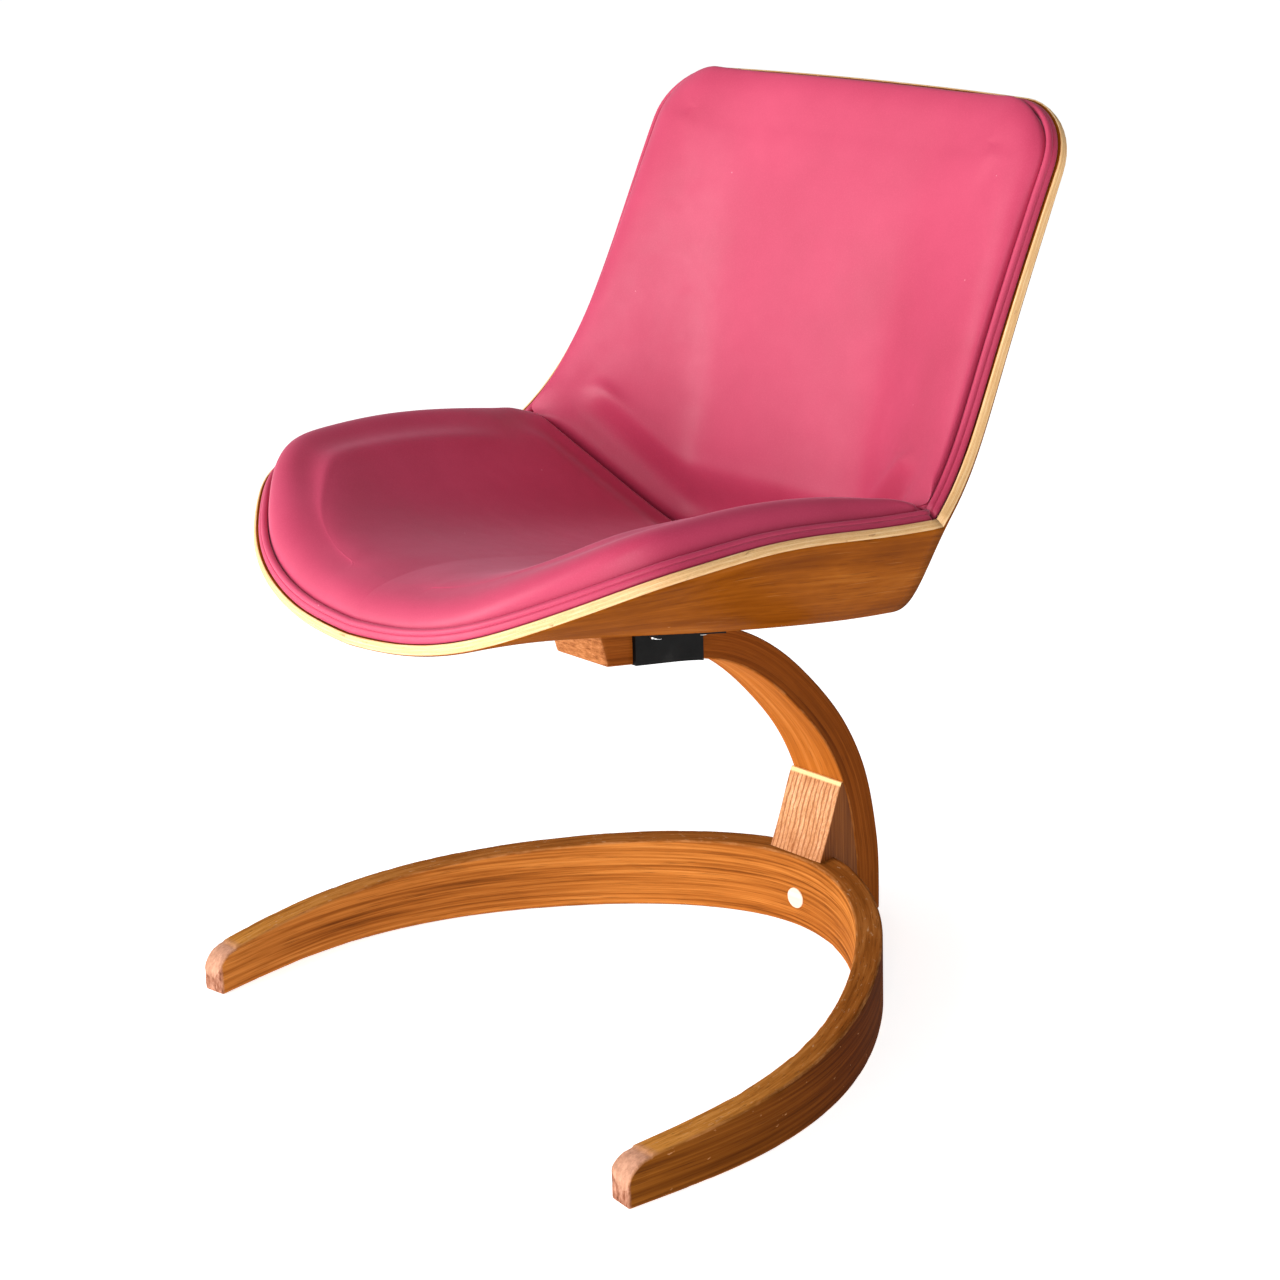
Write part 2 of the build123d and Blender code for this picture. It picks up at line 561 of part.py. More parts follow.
def tube(points, d):
    """round cord along straight runs joined by arcs"""
    pts = [Vector(float(p[0]), float(p[1]) + Y_SHIFT, float(p[2])) for p in points]
    radii = []
    for a, b, c in zip(pts, pts[1:], pts[2:]):
        turn = np.radians((b - a).get_angle(c - b))
        radii.append(float(0.42 * min((b - a).length, (c - b).length) / np.tan(turn / 2)))
    path = FilletPolyline(*pts, radius=radii)
    start = Plane(origin=path @ 0, z_dir=path % 0)
    return sweep(start * Circle(d / 2), path=path)


# piping on the free sides of each pad
edge = outline(PIPING_INSET)
half = []
for ui in (0.055, 0.13, 0.21, 0.30, 0.39, 0.47, 0.54, 0.60, 0.655, 0.71, 0.765, 0.82, 0.875, 0.93, 0.985):
    ex, ey = edge(ui)
    half.append((float(ex), float(ey)))
plan_pts = half + [(20.0, -497.0)] + [(-20.0, -497.0)] + [(-x, y) for x, y in half[::-1]]
pipe = []
for x, y in plan_pts:
    p, n = seat_point(np.array(x), np.array(y)), seat_normal(np.array(x), np.array(y))
    pipe.append(p + PIPING_H * n)
seat_piping = tube(pipe, PIPING_D)

pipe = []
s_in = 1 - PIPING_INSET / 255.0
right = [(s_in, t) for t in (0.05, 0.14, 0.24, 0.36, 0.48, 0.60, 0.72)]
rr = TOP_CORNER_R - PIPING_INSET - 3.0
for a in (8, 30, 52, 74):
    ca, sa = np.cos(np.radians(a)), np.sin(np.radians(a))
    right.append((s_in - rr * (1 - ca) / 246.0, 1 - PIPING_INSET / 372.0 - rr * (1 - sa) / 372.0))
t_in = 1 - PIPING_INSET / 372.0
right += [(0.62, t_in + 0.0008), (0.36, t_in - 0.0006), (0.12, t_in + 0.0005)]
walk = right + [(-s, t) for s, t in right[::-1]]
for s, t in walk:
    s, t = np.array(s), np.array(t)
    pipe.append(back_point(s, t) + PIPING_H * back_normal(s, t))
back_piping = tube(pipe, PIPING_D)

# push-in clips between the pads' boards and the shell
sclips, bclips = [], []
for x in (-150.0, 150.0):
    for y in (-130.0, -330.0):
        p = seat_point(np.array(x), np.array(y))
        n = seat_normal(np.array(x), np.array(y))
        sclips.append(rod(p - 5.0 * n, p + (b1 - 1.2) * n, 7.0))
for s in (-0.62, 0.62):
    for t in (0.22, 0.80):
        p = back_point(np.array(s), np.array(t))
        n = back_normal(np.array(s), np.array(t))
        bclips.append(rod(p - 5.0 * n, p + (b1 - 1.2) * n, 7.0))
for c in sclips:
    seat_shell, seat_board = seat_shell - c, seat_board - c
for c in bclips:
    back_shell, back_board = back_shell - c, back_board - c
nodes["seat_pad_clips"] = Compound(sclips)
nodes["back_pad_clips"] = Compound(bclips)

nodes.update({
    "base_hoop": hoop, "upright_bow": bow, "knee_block": knee, "seat_bracket": bracket,
    "seat_shell": seat_shell, "back_shell": back_shell,
    "seat_pad_board": seat_board, "seat_pad_foam": seat_foam, "seat_pad_cover": seat_cover,
    "seat_pad_piping": seat_piping, "back_pad_board": back_board, "back_pad_foam": back_foam,
    "back_pad_cover": back_cover, "back_pad_piping": back_piping})

box = None
for name, shape in nodes.items():
    export_step(shape, f"parts/{name}.step")
    bb = shape.bounding_box()
    box = bb if box is None else box.add(bb)
print("box", box.min, box.max)
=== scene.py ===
import math

import bpy
import bmesh
import numpy as np
from mathutils import Matrix, Vector, kdtree, noise


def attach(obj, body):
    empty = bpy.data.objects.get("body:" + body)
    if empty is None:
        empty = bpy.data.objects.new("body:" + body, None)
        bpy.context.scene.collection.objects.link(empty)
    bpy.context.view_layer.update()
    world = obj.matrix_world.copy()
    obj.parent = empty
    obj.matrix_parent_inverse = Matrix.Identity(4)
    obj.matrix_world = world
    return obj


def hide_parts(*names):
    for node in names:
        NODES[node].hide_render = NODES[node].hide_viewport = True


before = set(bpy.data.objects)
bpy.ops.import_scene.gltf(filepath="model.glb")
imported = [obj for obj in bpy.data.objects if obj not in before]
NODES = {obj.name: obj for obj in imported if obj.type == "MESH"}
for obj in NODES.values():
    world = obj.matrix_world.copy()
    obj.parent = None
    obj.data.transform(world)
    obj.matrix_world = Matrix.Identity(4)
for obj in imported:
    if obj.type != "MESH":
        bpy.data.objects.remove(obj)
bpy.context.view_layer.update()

scene = bpy.context.scene
Y_SHIFT = 198.85                       # as in the CAD: Y = 0 of the layout is the hoop's rear


# =====================================================================
# shape of the chair, in millimetres (same driving values as the CAD)
# =====================================================================
def spline1(xk, yk):
    """natural cubic spline through (xk, yk)"""
    xk, yk = np.asarray(xk, float), np.asarray(yk, float)
    n, h = len(xk), np.diff(xk)
    a, b = np.zeros((n, n)), np.zeros(n)
    a[0, 0] = a[-1, -1] = 1.0
    for i in range(1, n - 1):
        a[i, i - 1], a[i, i], a[i, i + 1] = h[i - 1], 2 * (h[i - 1] + h[i]), h[i]
        b[i] = 6 * ((yk[i + 1] - yk[i]) / h[i] - (yk[i] - yk[i - 1]) / h[i - 1])
    m = np.linalg.solve(a, b)

    def f(x):
        x = np.asarray(x, float)
        i = np.clip(np.searchsorted(xk, x) - 1, 0, n - 2)
        hh, p, q = h[i], xk[i + 1] - x, x - xk[i]
        return ((m[i] * p**3 + m[i + 1] * q**3) / (6 * hh)
                + (yk[i] / hh - m[i] * hh / 6) * p + (yk[i + 1] / hh - m[i + 1] * hh / 6) * q)
    return f


def unit(v):
    return v / np.linalg.norm(v, axis=-1, keepdims=True)


def smin(a, b, k=1.2):
    """soft minimum"""
    return -k * np.logaddexp(-a / k, -b / k)


# ---- seat pan
SHELL_T = 9.5
SEAT_BEND_X = 130.0
MITRE_Y, MITRE_Z, MITRE_SLOPE = -104.0, 462.0, 0.728
TOP_HALF_W, TOP_Y, TOP_Z = 240.0, 99.5, 775.5
TOP_CORNER_R = 58.0
SIDE_SWEEP, SIDE_WAIST, FOLD_SWEEP = 14.7, 8.6, 8.0
seat_mid_z = spline1([-560, -510, -420, -330, -235, -160, -100, -50, 0, 50],
                     [410.5, 408, 399, 383.5, 366, 354, 346.2, 340.8, 336.6, 333])
SEAT_Y2 = [-560, -480, -420, -360, -300, -235, -160, -80, 0, 50]
seat_slope = spline1(SEAT_Y2, [.70, .70, .705, .755, .835, .885, .895, .895, .895, .895])
seat_soft = spline1(SEAT_Y2, [46, 46, 45, 41, 36, 31, 26, 20, 16, 15])


def seat_z(x, y):
    x, w = np.abs(x), seat_soft(y)
    rise = w * (np.logaddexp(0, (x - SEAT_BEND_X) / w) - np.logaddexp(0, -SEAT_BEND_X / w))
    return seat_mid_z(y) + seat_slope(y) * rise


def seat_grad(x, y, e=0.2):
    return ((seat_z(x + e, y) - seat_z(x - e, y)) / (2 * e),
            (seat_z(x, y + e) - seat_z(x, y - e)) / (2 * e))


def seat_normal(x, y):
    gx, gy = seat_grad(x, y)
    return unit(np.stack(np.broadcast_arrays(-gx, -gy, np.ones_like(gx)), -1))


SEAT_EDGE = np.array([(264, -104), (260.5, -165), (259, -238), (258, -300), (256, -345),
                      (249, -386), (235, -412.5), (208, -441), (180, -463.5), (148, -481.5),
                      (104.5, -495.5), (59, -503.2), (0, -505.8)], float)
edge_d = np.r_[0, np.cumsum(np.linalg.norm(np.diff(SEAT_EDGE, axis=0), axis=1))]
EDGE_LEN = float(edge_d[-1])
EDGE_END = float(edge_d[-2] / edge_d[-1])
edge_x, edge_y = spline1(edge_d / EDGE_LEN, SEAT_EDGE[:, 0]), spline1(edge_d / EDGE_LEN, SEAT_EDGE[:, 1])
CREASE_W = float(SEAT_EDGE[0, 0])


def seat_edge(u, d):
    """plan point of the seat's outline, moved in over the surface by d"""
    t, e = np.asarray(u, float) * EDGE_END, 1e-4
    tx, ty = edge_x(t + e) - edge_x(t - e), edge_y(t + e) - edge_y(t - e)
    n = np.hypot(tx, ty)
    nx, ny = ty / n, -tx / n
    x0, y0 = edge_x(t), edge_y(t)
    gx, gy = seat_grad(x0, y0)
    k = d / np.sqrt(1 + (gx * nx + gy * ny)**2)
    return x0 + k * nx, y0 + k * ny


def crease_y(x):
    """plan line of the fold between seat and back"""
    x = np.asarray(x, float)
    y = np.full(x.shape, -50.0)
    for _ in range(80):
        y = 0.5 * y + 0.5 * (MITRE_Y + MITRE_SLOPE * (MITRE_Z - seat_z(x, y)))
    return y


def crease(s):
    x = s * CREASE_W
    y = crease_y(x)
    return np.stack([x, y, seat_z(x, y)], -1)


S_TAB = np.linspace(-1.05, 1.05, 421)
CREASE_TAB = crease(S_TAB)


def crease_at(s):
    return np.stack([np.interp(s, S_TAB, CREASE_TAB[:, i]) for i in range(3)], -1)


def back_point(s, t):
    """front face of the back's plywood: s across, t from the fold to the top"""
    s, t = np.broadcast_arrays(np.asarray(s, float), np.asarray(t, float))
    k = crease_at(s)
    top = np.stack([s * TOP_HALF_W, TOP_Y - 7.5 * s**2, TOP_Z - 3.0 * s**2], -1)
    p = k + (top - k) * t[..., None]
    b = 6.75 * t * (1 - t)**2
    p[..., 0] -= SIDE_WAIST * b * s
    p[..., 1] += (SIDE_SWEEP * b + FOLD_SWEEP * 17.6 * t * (1 - t)**6) * s**2
    return p


def back_normal(s, t, e=6e-3):
    s, t = np.broadcast_arrays(np.asarray(s, float), np.asarray(t, float))
    n = unit(np.cross(back_point(s + e, t) - back_point(s - e, t),
                      back_point(s, t + e) - back_point(s, t - e)))
    return n * np.where(n[..., 1:2] < 0, 1.0, -1.0)


n_one = seat_normal(CREASE_TAB[:, 0], CREASE_TAB[:, 1])
n_two = back_normal(S_TAB, 0 * S_TAB)
n_dot = (n_one * n_two).sum(-1)
MITRE_TAB = (n_one + n_two) / (1 + n_dot[:, None])
TAN_TAB = np.sqrt((1 - n_dot) / (1 + n_dot))


def mitre_dir(s):
    return np.stack([np.interp(s, S_TAB, MITRE_TAB[:, i]) for i in range(3)], -1)


def mitre_tan(s):
    return np.interp(s, S_TAB, TAN_TAB)


def seat_place(sig, u, d, h, rear, on_mitre=False):
    """point over the seat: sig -1..1 across, u from the fold to the front, d in from the
    free edge, h over the plywood, rear = room left at the fold"""
    sig, u, d, h, rear = np.broadcast_arrays(*[np.asarray(q, float) for q in (sig, u, d, h, rear)])
    ex, ey = seat_edge(u, d)
    ex0, ey0 = seat_edge(0 * u, d)
    x, x0 = sig * ex, sig * ex0
    off = np.maximum(h, 0) * mitre_tan(x0 / CREASE_W) + rear
    y = ey + (1 - u)**2 * (crease_y(x0) - off - ey0) - 2.6 * u**4 * (1 - sig**2)
    p = np.stack([x, y, seat_z(x, y)], -1) + h[..., None] * seat_normal(x, y)
    if on_mitre:
        at = np.stack([x, y, seat_z(x, y)], -1) + h[..., None] * mitre_dir(x0 / CREASE_W)
        p = np.where((u < 1e-9)[..., None], at, p)
    return p


BACK_UC = 0.80                          # rows above this turn the upper corners
t_tab = np.linspace(0, 1, 101)
LS_TAB = np.linalg.norm(back_point(0.97, t_tab) - back_point(0.93, t_tab), axis=-1) / 0.04
LT_TAB = np.linalg.norm(back_point(S_TAB, np.ones_like(S_TAB)) - back_point(S_TAB, 0 * S_TAB), axis=-1)


def back_place(sig, u, d, h, rear, on_mitre=False):
    sig, u, d, h, rear = np.broadcast_arrays(*[np.asarray(q, float) for q in (sig, u, d, h, rear)])
    r = TOP_CORNER_R
    th = np.clip((u - BACK_UC) / (1 - BACK_UC), 0, 1) * np.pi / 2
    a = np.where(u < BACK_UC, d, r - (r - d) * np.cos(th))
    even = r - (r - d) * np.clip((u - BACK_UC) / (1 - BACK_UC), 0, 1)
    b = even + (r - (r - d) * np.sin(th) - even) * np.abs(sig)**8
    lt = np.interp(sig, S_TAB, LT_TAB)
    t0 = (np.maximum(h, 0) * mitre_tan(sig) + rear) / lt
    t = np.where(u < BACK_UC, t0 + (1 - r / lt - t0) * u / BACK_UC, 1 - b / lt)
    s = sig * (1 - a / np.interp(t, t_tab, LS_TAB))
    p0 = back_point(s, t)
    p = p0 + h[..., None] * back_normal(s, t)
    if on_mitre:
        p = np.where((u < 1e-9)[..., None], p0 + h[..., None] * mitre_dir(s), p)
    return p


# =====================================================================
# mesh helpers
# =====================================================================
def metres(p):
    p = np.array(p, float)
    p[..., 1] += Y_SHIFT
    return p * 0.001


def new_object(name, verts, faces, mats, face_mat=None, vectors=None, floats=None, flip_check=True):
    """mesh object from layout millimetres, with per-vertex attributes for its material"""
    me = bpy.data.meshes.new(name)
    me.from_pydata(metres(verts).tolist(), [], faces)
    for m in mats:
        me.materials.append(m)
    if face_mat is not None:
        me.polygons.foreach_set("material_index", np.asarray(face_mat, np.int32))
    for key, val in (vectors or {}).items():
        at = me.attributes.new(key, "FLOAT_VECTOR", "POINT")
        at.data.foreach_set("vector", np.asarray(val, np.float32).ravel())
    for key, val in (floats or {}).items():
        at = me.attributes.new(key, "FLOAT", "POINT")
        at.data.foreach_set("value", np.asarray(val, np.float32).ravel())
    me.update()
    if flip_check:
        bm = bmesh.new()
        bm.from_mesh(me)
        bmesh.ops.recalc_face_normals(bm, faces=bm.faces)
        bm.to_mesh(me)
        bm.free()
    me.polygons.foreach_set("use_smooth", np.ones(len(me.polygons), bool))
    me.update()
    ob = bpy.data.objects.new(name, me)
    scene.collection.objects.link(ob)
    return ob


def rim_order(rows, cols):
    """(row, col) of a grid's boundary: side, front, other side, fold"""
    return ([(r, 0) for r in range(rows)] + [(rows - 1, c) for c in range(1, cols)]
            + [(r, cols - 1) for r in range(rows - 2, -1, -1)] + [(0, c) for c in range(cols - 2, 0, -1)])


class Sheet:
    """closed body over a grid: a lower grid, loops around its rim, an upper grid"""

    def __init__(self, place, rows, cols, u_rows):
        self.place, self.rows, self.cols = place, rows, cols
        self.sig = np.linspace(-1, 1, cols)
        self.u = u_rows
        self.rim = rim_order(rows, cols)
        self.rsig = np.array([self.sig[c] for r, c in self.rim])
        self.ru = np.array([self.u[r] for r, c in self.rim])
        self.fold = np.array([r == 0 for r, c in self.rim])
        self.verts, self.faces, self.tag, self.uv, self.hh, self.dd = [], [], [], [], [], []
        self.n = 0

    def _add(self, p, sig, u, h, d):
        start = self.n
        p = np.asarray(p).reshape(-1, 3)
        self.verts.append(p)
        one = np.ones(len(p))
        self.uv.append(np.stack([sig.ravel() * one, u.ravel() * one], -1))
        self.hh.append(np.asarray(h).ravel() * one)
        self.dd.append(np.asarray(d).ravel() * one)
        self.n += len(p)
        return start

    def grid(self, d, h, rear, tag, on_mitre=False):
        uu, ss = np.meshgrid(self.u, self.sig, indexing="ij")
        hg = h(ss, uu) if callable(h) else np.full(ss.shape, float(h))
        start = self._add(self.place(ss, uu, d, hg, rear, on_mitre), ss, uu, hg, np.full(ss.shape, float(d)))
        for r in range(self.rows - 1):
            for c in range(self.cols - 1):
                a = start + r * self.cols + c
                self.faces.append((a, a + 1, a + self.cols + 1, a + self.cols))
                self.tag.append(tag)
        return [start + r * self.cols + c for r, c in self.rim]

    def loop(self, d, h, rear, on_mitre=False):
        p = self.place(self.rsig, self.ru, d, h, rear, on_mitre)
        start = self._add(p, self.rsig, self.ru, np.asarray(h, float), np.asarray(d, float))
        return list(range(start, start + len(self.rim)))

    def strip(self, a, b, tag):
        k = len(a)
        for i in range(k):
            j = (i + 1) % k
            self.faces.append((a[i], a[j], b[j], b[i]))
            self.tag.append(tag)

    def done(self):
        return (np.vstack(self.verts), self.faces, np.array(self.tag), np.vstack(self.uv),
                np.concatenate(self.hh), np.concatenate(self.dd))


# =====================================================================
# material helpers
# =====================================================================
def rgb(r, g, b):
    """linear colour from display values 0..255"""
    def f(c):
        c /= 255.0
        return c / 12.92 if c <= 0.04045 else ((c + 0.055) / 1.055)**2.4
    return (f(r), f(g), f(b), 1.0)


class Graph:
    """short hand for building a material's nodes"""

    def __init__(self, name):
        self.mat = bpy.data.materials.new(name)
        self.mat.use_nodes = True
        self.t = self.mat.node_tree
        self.t.nodes.clear()
        self.out = self.t.nodes.new("ShaderNodeOutputMaterial")
        self.bsdf = self.t.nodes.new("ShaderNodeBsdfPrincipled")
        self.t.links.new(self.bsdf.outputs[0], self.out.inputs[0])

    def put(self, sock, val):
        if hasattr(val, "links"):
            self.t.links.new(val, sock)
        else:
            sock.default_value = val

    def set(self, **kw):
        for k, v in kw.items():
            self.put(self.bsdf.inputs[k.replace("_", " ")], v)

    def obj(self):
        return self.t.nodes.new("ShaderNodeTexCoord").outputs["Object"]

    def attr(self, name, vector=False):
        n = self.t.nodes.new("ShaderNodeAttribute")
        n.attribute_name = name
        return n.outputs["Vector" if vector else "Fac"]

    def scaled(self, vec, scale, loc=(0, 0, 0), rot=(0, 0, 0)):
        n = self.t.nodes.new("ShaderNodeMapping")
        self.t.links.new(vec, n.inputs["Vector"])
        n.inputs["Scale"].default_value = scale
        n.inputs["Location"].default_value = loc
        n.inputs["Rotation"].default_value = rot
        return n.outputs[0]

    def noise(self, vec, scale, detail=4.0, rough=0.55, dist=0.0):
        n = self.t.nodes.new("ShaderNodeTexNoise")
        self.t.links.new(vec, n.inputs["Vector"])
        n.inputs["Scale"].default_value = scale
        n.inputs["Detail"].default_value = detail
        n.inputs["Roughness"].default_value = rough
        n.inputs["Distortion"].default_value = dist
        return n.outputs[0]

    def noise_col(self, vec, scale, detail=2.0):
        n = self.t.nodes.new("ShaderNodeTexNoise")
        self.t.links.new(vec, n.inputs["Vector"])
        n.inputs["Scale"].default_value = scale
        n.inputs["Detail"].default_value = detail
        return n.outputs[1]

    def voronoi(self, vec, scale, feature="F1", out="Distance", rand=1.0):
        n = self.t.nodes.new("ShaderNodeTexVoronoi")
        n.feature = feature
        self.t.links.new(vec, n.inputs["Vector"])
        n.inputs["Scale"].default_value = scale
        n.inputs["Randomness"].default_value = rand
        return n.outputs[out]

    def math(self, op, a, b=0.5, c=None, clamp=False):
        n = self.t.nodes.new("ShaderNodeMath")
        n.operation = op
        n.use_clamp = clamp
        self.put(n.inputs[0], a)
        self.put(n.inputs[1], b)
        if c is not None:
            self.put(n.inputs[2], c)
        return n.outputs[0]

    def span(self, val, a, b, c=0.0, d=1.0, smooth=False):
        n = self.t.nodes.new("ShaderNodeMapRange")
        n.interpolation_type = "SMOOTHSTEP" if smooth else "LINEAR"
        self.put(n.inputs[0], val)
        for i, v in enumerate((a, b, c, d)):
            n.inputs[i + 1].default_value = v
        return n.outputs[0]

    def split(self, vec):
        n = self.t.nodes.new("ShaderNodeSeparateXYZ")
        self.t.links.new(vec, n.inputs[0])
        return n.outputs

    def join(self, x, y, z):
        n = self.t.nodes.new("ShaderNodeCombineXYZ")
        for i, v in enumerate((x, y, z)):
            self.put(n.inputs[i], v)
        return n.outputs[0]

    def ramp(self, fac, stops, mode="LINEAR"):
        n = self.t.nodes.new("ShaderNodeValToRGB")
        n.color_ramp.interpolation = mode
        el = n.color_ramp.elements
        while len(el) < len(stops):
            el.new(0.5)
        for e, (p, c) in zip(el, stops):
            e.position = p
            e.color = c
        self.t.links.new(fac, n.inputs[0])
        return n.outputs[0]

    def mix(self, fac, a, b, mode="MIX"):
        n = self.t.nodes.new("ShaderNodeMix")
        n.data_type = "RGBA"
        n.blend_type = mode
        self.put(n.inputs[0], fac)
        self.put(n.inputs[6], a)
        self.put(n.inputs[7], b)
        return n.outputs[2]

    def bump(self, height, strength, dist, normal=None):
        n = self.t.nodes.new("ShaderNodeBump")
        n.inputs["Strength"].default_value = strength
        n.inputs["Distance"].default_value = dist
        self.t.links.new(height, n.inputs["Height"])
        if normal is not None:
            self.t.links.new(normal, n.inputs["Normal"])
        return n.outputs[0]


def vinyl(name, deep=False):
    """satin raspberry vinyl: fine pressed grain, slow unevenness, a few pale specks"""
    g = Graph(name)
    p = g.obj()
    slow = g.noise(p, 9.0, 3.0, 0.5)
    mid = g.noise(p, 55.0, 4.0, 0.6)
    fine = g.noise(p, 900.0, 2.0, 0.5)
    base = g.ramp(slow, [(0.30, rgb(176, 48, 80)), (0.52, rgb(184, 53, 87)), (0.74, rgb(191, 59, 93))])
    base = g.mix(g.span(mid, 0.35, 0.75, 0.0, 0.25), base, rgb(180, 46, 82))
    base = g.mix(g.span(fine, 0.45, 0.75, 0.0, 0.20), base, rgb(208, 78, 114))
    spot = g.voronoi(p, 70.0, "F1", "Distance")
    pick = g.split(g.voronoi(p, 70.0, "F1", "Color"))[0]
    speck = g.math("MULTIPLY", g.math("LESS_THAN", spot, 0.05), g.math("GREATER_THAN", pick, 0.93))
    base = g.mix(g.math("MULTIPLY", speck, 0.35), base, rgb(244, 178, 190))
    g.set(Base_Color=base)
    g.set(Roughness=g.span(g.math("ADD", g.math("MULTIPLY", mid, 0.6), g.math("MULTIPLY", slow, 0.4)), 0.3, 0.7, 0.46, 0.56))
    g.bsdf.inputs["Specular IOR Level"].default_value = 0.42
    g.bsdf.inputs["Sheen Weight"].default_value = 0.22
    g.bsdf.inputs["Sheen Roughness"].default_value = 0.45
    g.bsdf.inputs["Sheen Tint"].default_value = rgb(255, 190, 214)
    cells = g.voronoi(p, 1250.0, "SMOOTH_F1", "Distance")
    n1 = g.bump(slow, 0.25, 0.004)
    n2 = g.bump(mid, 0.10, 0.0008, n1)
    n3 = g.bump(cells, 0.10, 0.00022, n2)
    g.set(Normal=n3)
    return g.mat


def grain(g, gc, along, across, seed=0.0):
    """long wood fibre figure: (broad bands, cathedral lines, fine pores)"""
    warp = g.noise(g.scaled(gc, (along * 0.5, across * 0.10, across * 0.10), (seed, 0, 0)), 1.0, 2.0, 0.5)
    sx = g.split(gc)
    wob = g.math("MULTIPLY", g.math("SUBTRACT", warp, 0.5), 0.010)
    vec = g.join(sx[0], g.math("ADD", sx[1], wob), g.math("ADD", sx[2], wob))
    broad = g.noise(g.scaled(vec, (along, across, across), (seed, seed, 0)), 1.0, 4.0, 0.55, 0.15)
    lines = g.noise(g.scaled(vec, (along * 1.6, across * 6.0, across * 6.0), (seed, 0, seed)), 1.0, 3.0, 0.6)
    pores = g.noise(g.scaled(vec, (along * 9.0, across * 22.0, across * 22.0), (0, seed, 0)), 1.0, 2.0, 0.5)
    return broad, lines, pores


def hoop_wood(name):
    """oak laminate of the floor hoop: orange inside, brown and knocked outside and on top; the outer face's dark
    brown is partly its own tone, partly painted shade
    """
    g = Graph(name)
    gc, face = g.attr("gc", True), g.attr("face", True)
    broad, lines, pores = grain(g, gc, 3.0, 60.0, 2.7)
    inner, outer, top = g.split(face)
    tip, rim = g.attr("tip"), g.attr("rim")
    fig = g.math("ADD", g.math("MULTIPLY", broad, 0.45), g.math("MULTIPLY", lines, 0.55))
    c_in = g.ramp(fig, [(0.32, rgb(102, 52, 16)), (0.45, rgb(156, 89, 33)), (0.55, rgb(186, 114, 49)), (0.70, rgb(210, 140, 72))])
    # outer face: a darker copy of the oak, partly its own tone and partly painted shade
    c_out = g.ramp(fig, [(0.30, rgb(52, 20, 4)), (0.50, rgb(88, 40, 8)), (0.70, rgb(118, 60, 18))])
    c_top = g.ramp(fig, [(0.30, rgb(104, 54, 16)), (0.50, rgb(150, 88, 34)), (0.72, rgb(190, 124, 62))])
    # the forward legs are coloured lighter than the rear
    front = g.span(g.split(g.obj())[1], -0.02, -0.26, 0.0, 0.8)
    c_top = g.mix(front, c_top, g.ramp(fig, [(0.30, rgb(150, 88, 30)), (0.50, rgb(206, 140, 62)), (0.72, rgb(232, 172, 96))]))
    c_out = g.mix(front, c_out, g.ramp(fig, [(0.30, rgb(80, 37, 6)), (0.50, rgb(126, 71, 18)), (0.70, rgb(160, 98, 34))]))
    col = g.mix(inner, c_out, c_in)
    col = g.mix(top, col, c_top)
    # pale worn flecks on the top face
    fleck = g.noise(g.scaled(gc, (110.0, 300.0, 300.0), (3, 1, 0)), 1.0, 4.0, 0.65)
    fl = g.math("MULTIPLY", g.span(fleck, 0.61, 0.70, 0.0, 0.6), top)
    col = g.mix(fl, col, rgb(202, 160, 118))
    # dents and scratches on the outer face
    nick = g.noise(g.scaled(gc, (60.0, 120.0, 150.0), (9, 2, 4)), 1.0, 3.0, 0.6)
    nk = g.math("MULTIPLY", g.span(nick, 0.69, 0.73, 0.0, 0.6), outer)
    col = g.mix(nk, col, rgb(198, 140, 92))
    # worn arrises
    wear = g.noise(g.scaled(gc, (45.0, 160.0, 160.0)), 1.0, 5.0, 0.65)
    wr = g.math("MULTIPLY", g.span(wear, 0.42, 0.64, 0.05, 0.7), rim)
    col = g.mix(wr, col, rgb(190, 128, 74))
    # tips: bare, pinkish end grain with dark pores
    tipn = g.noise(g.scaled(gc, (260.0, 260.0, 120.0)), 1.0, 5.0, 0.7)
    c_tip = g.ramp(tipn, [(0.30, rgb(92, 52, 36)), (0.45, rgb(148, 98, 76)), (0.62, rgb(184, 134, 110)), (0.8, rgb(212, 168, 144))])
    ring = g.noise(g.scaled(gc, (40.0, 420.0, 60.0)), 1.0, 2.0, 0.5)
    c_tip = g.mix(g.span(ring, 0.5, 0.7, 0.0, 0.45), c_tip, rgb(118, 64, 40))
    c_tip = g.mix(g.math("MULTIPLY", top, 0.35), c_tip, rgb(232, 180, 148))
    col = g.mix(tip, col, c_tip)
    pore = g.span(pores, 0.60, 0.72, 0.0, 0.55)
    col = g.mix(g.math("MULTIPLY", pore, g.math("SUBTRACT", 1.0, tip)), col, rgb(58, 26, 10))
    g.set(Base_Color=col)
    rough = g.span(fig, 0.3, 0.7, 0.48, 0.36)
    rough = g.math("ADD", rough, g.math("MULTIPLY", g.math("MAXIMUM", g.math("MAXIMUM", wr, nk), tip), 0.25), clamp=True)
    g.set(Roughness=rough)
    g.bsdf.inputs["Specular IOR Level"].default_value = 0.0
    g.bsdf.inputs["Coat Weight"].default_value = 0.04
    g.bsdf.inputs["Coat Roughness"].default_value = 0.30
    n1 = g.bump(lines, 0.16, 0.0006)
    n2 = g.bump(pore, 0.25, -0.0003, n1)
    n3 = g.bump(g.math("MAXIMUM", nk, g.math("MULTIPLY", tipn, tip)), 0.35, -0.0006, n2)
    g.set(Normal=n3)
    return g.mat


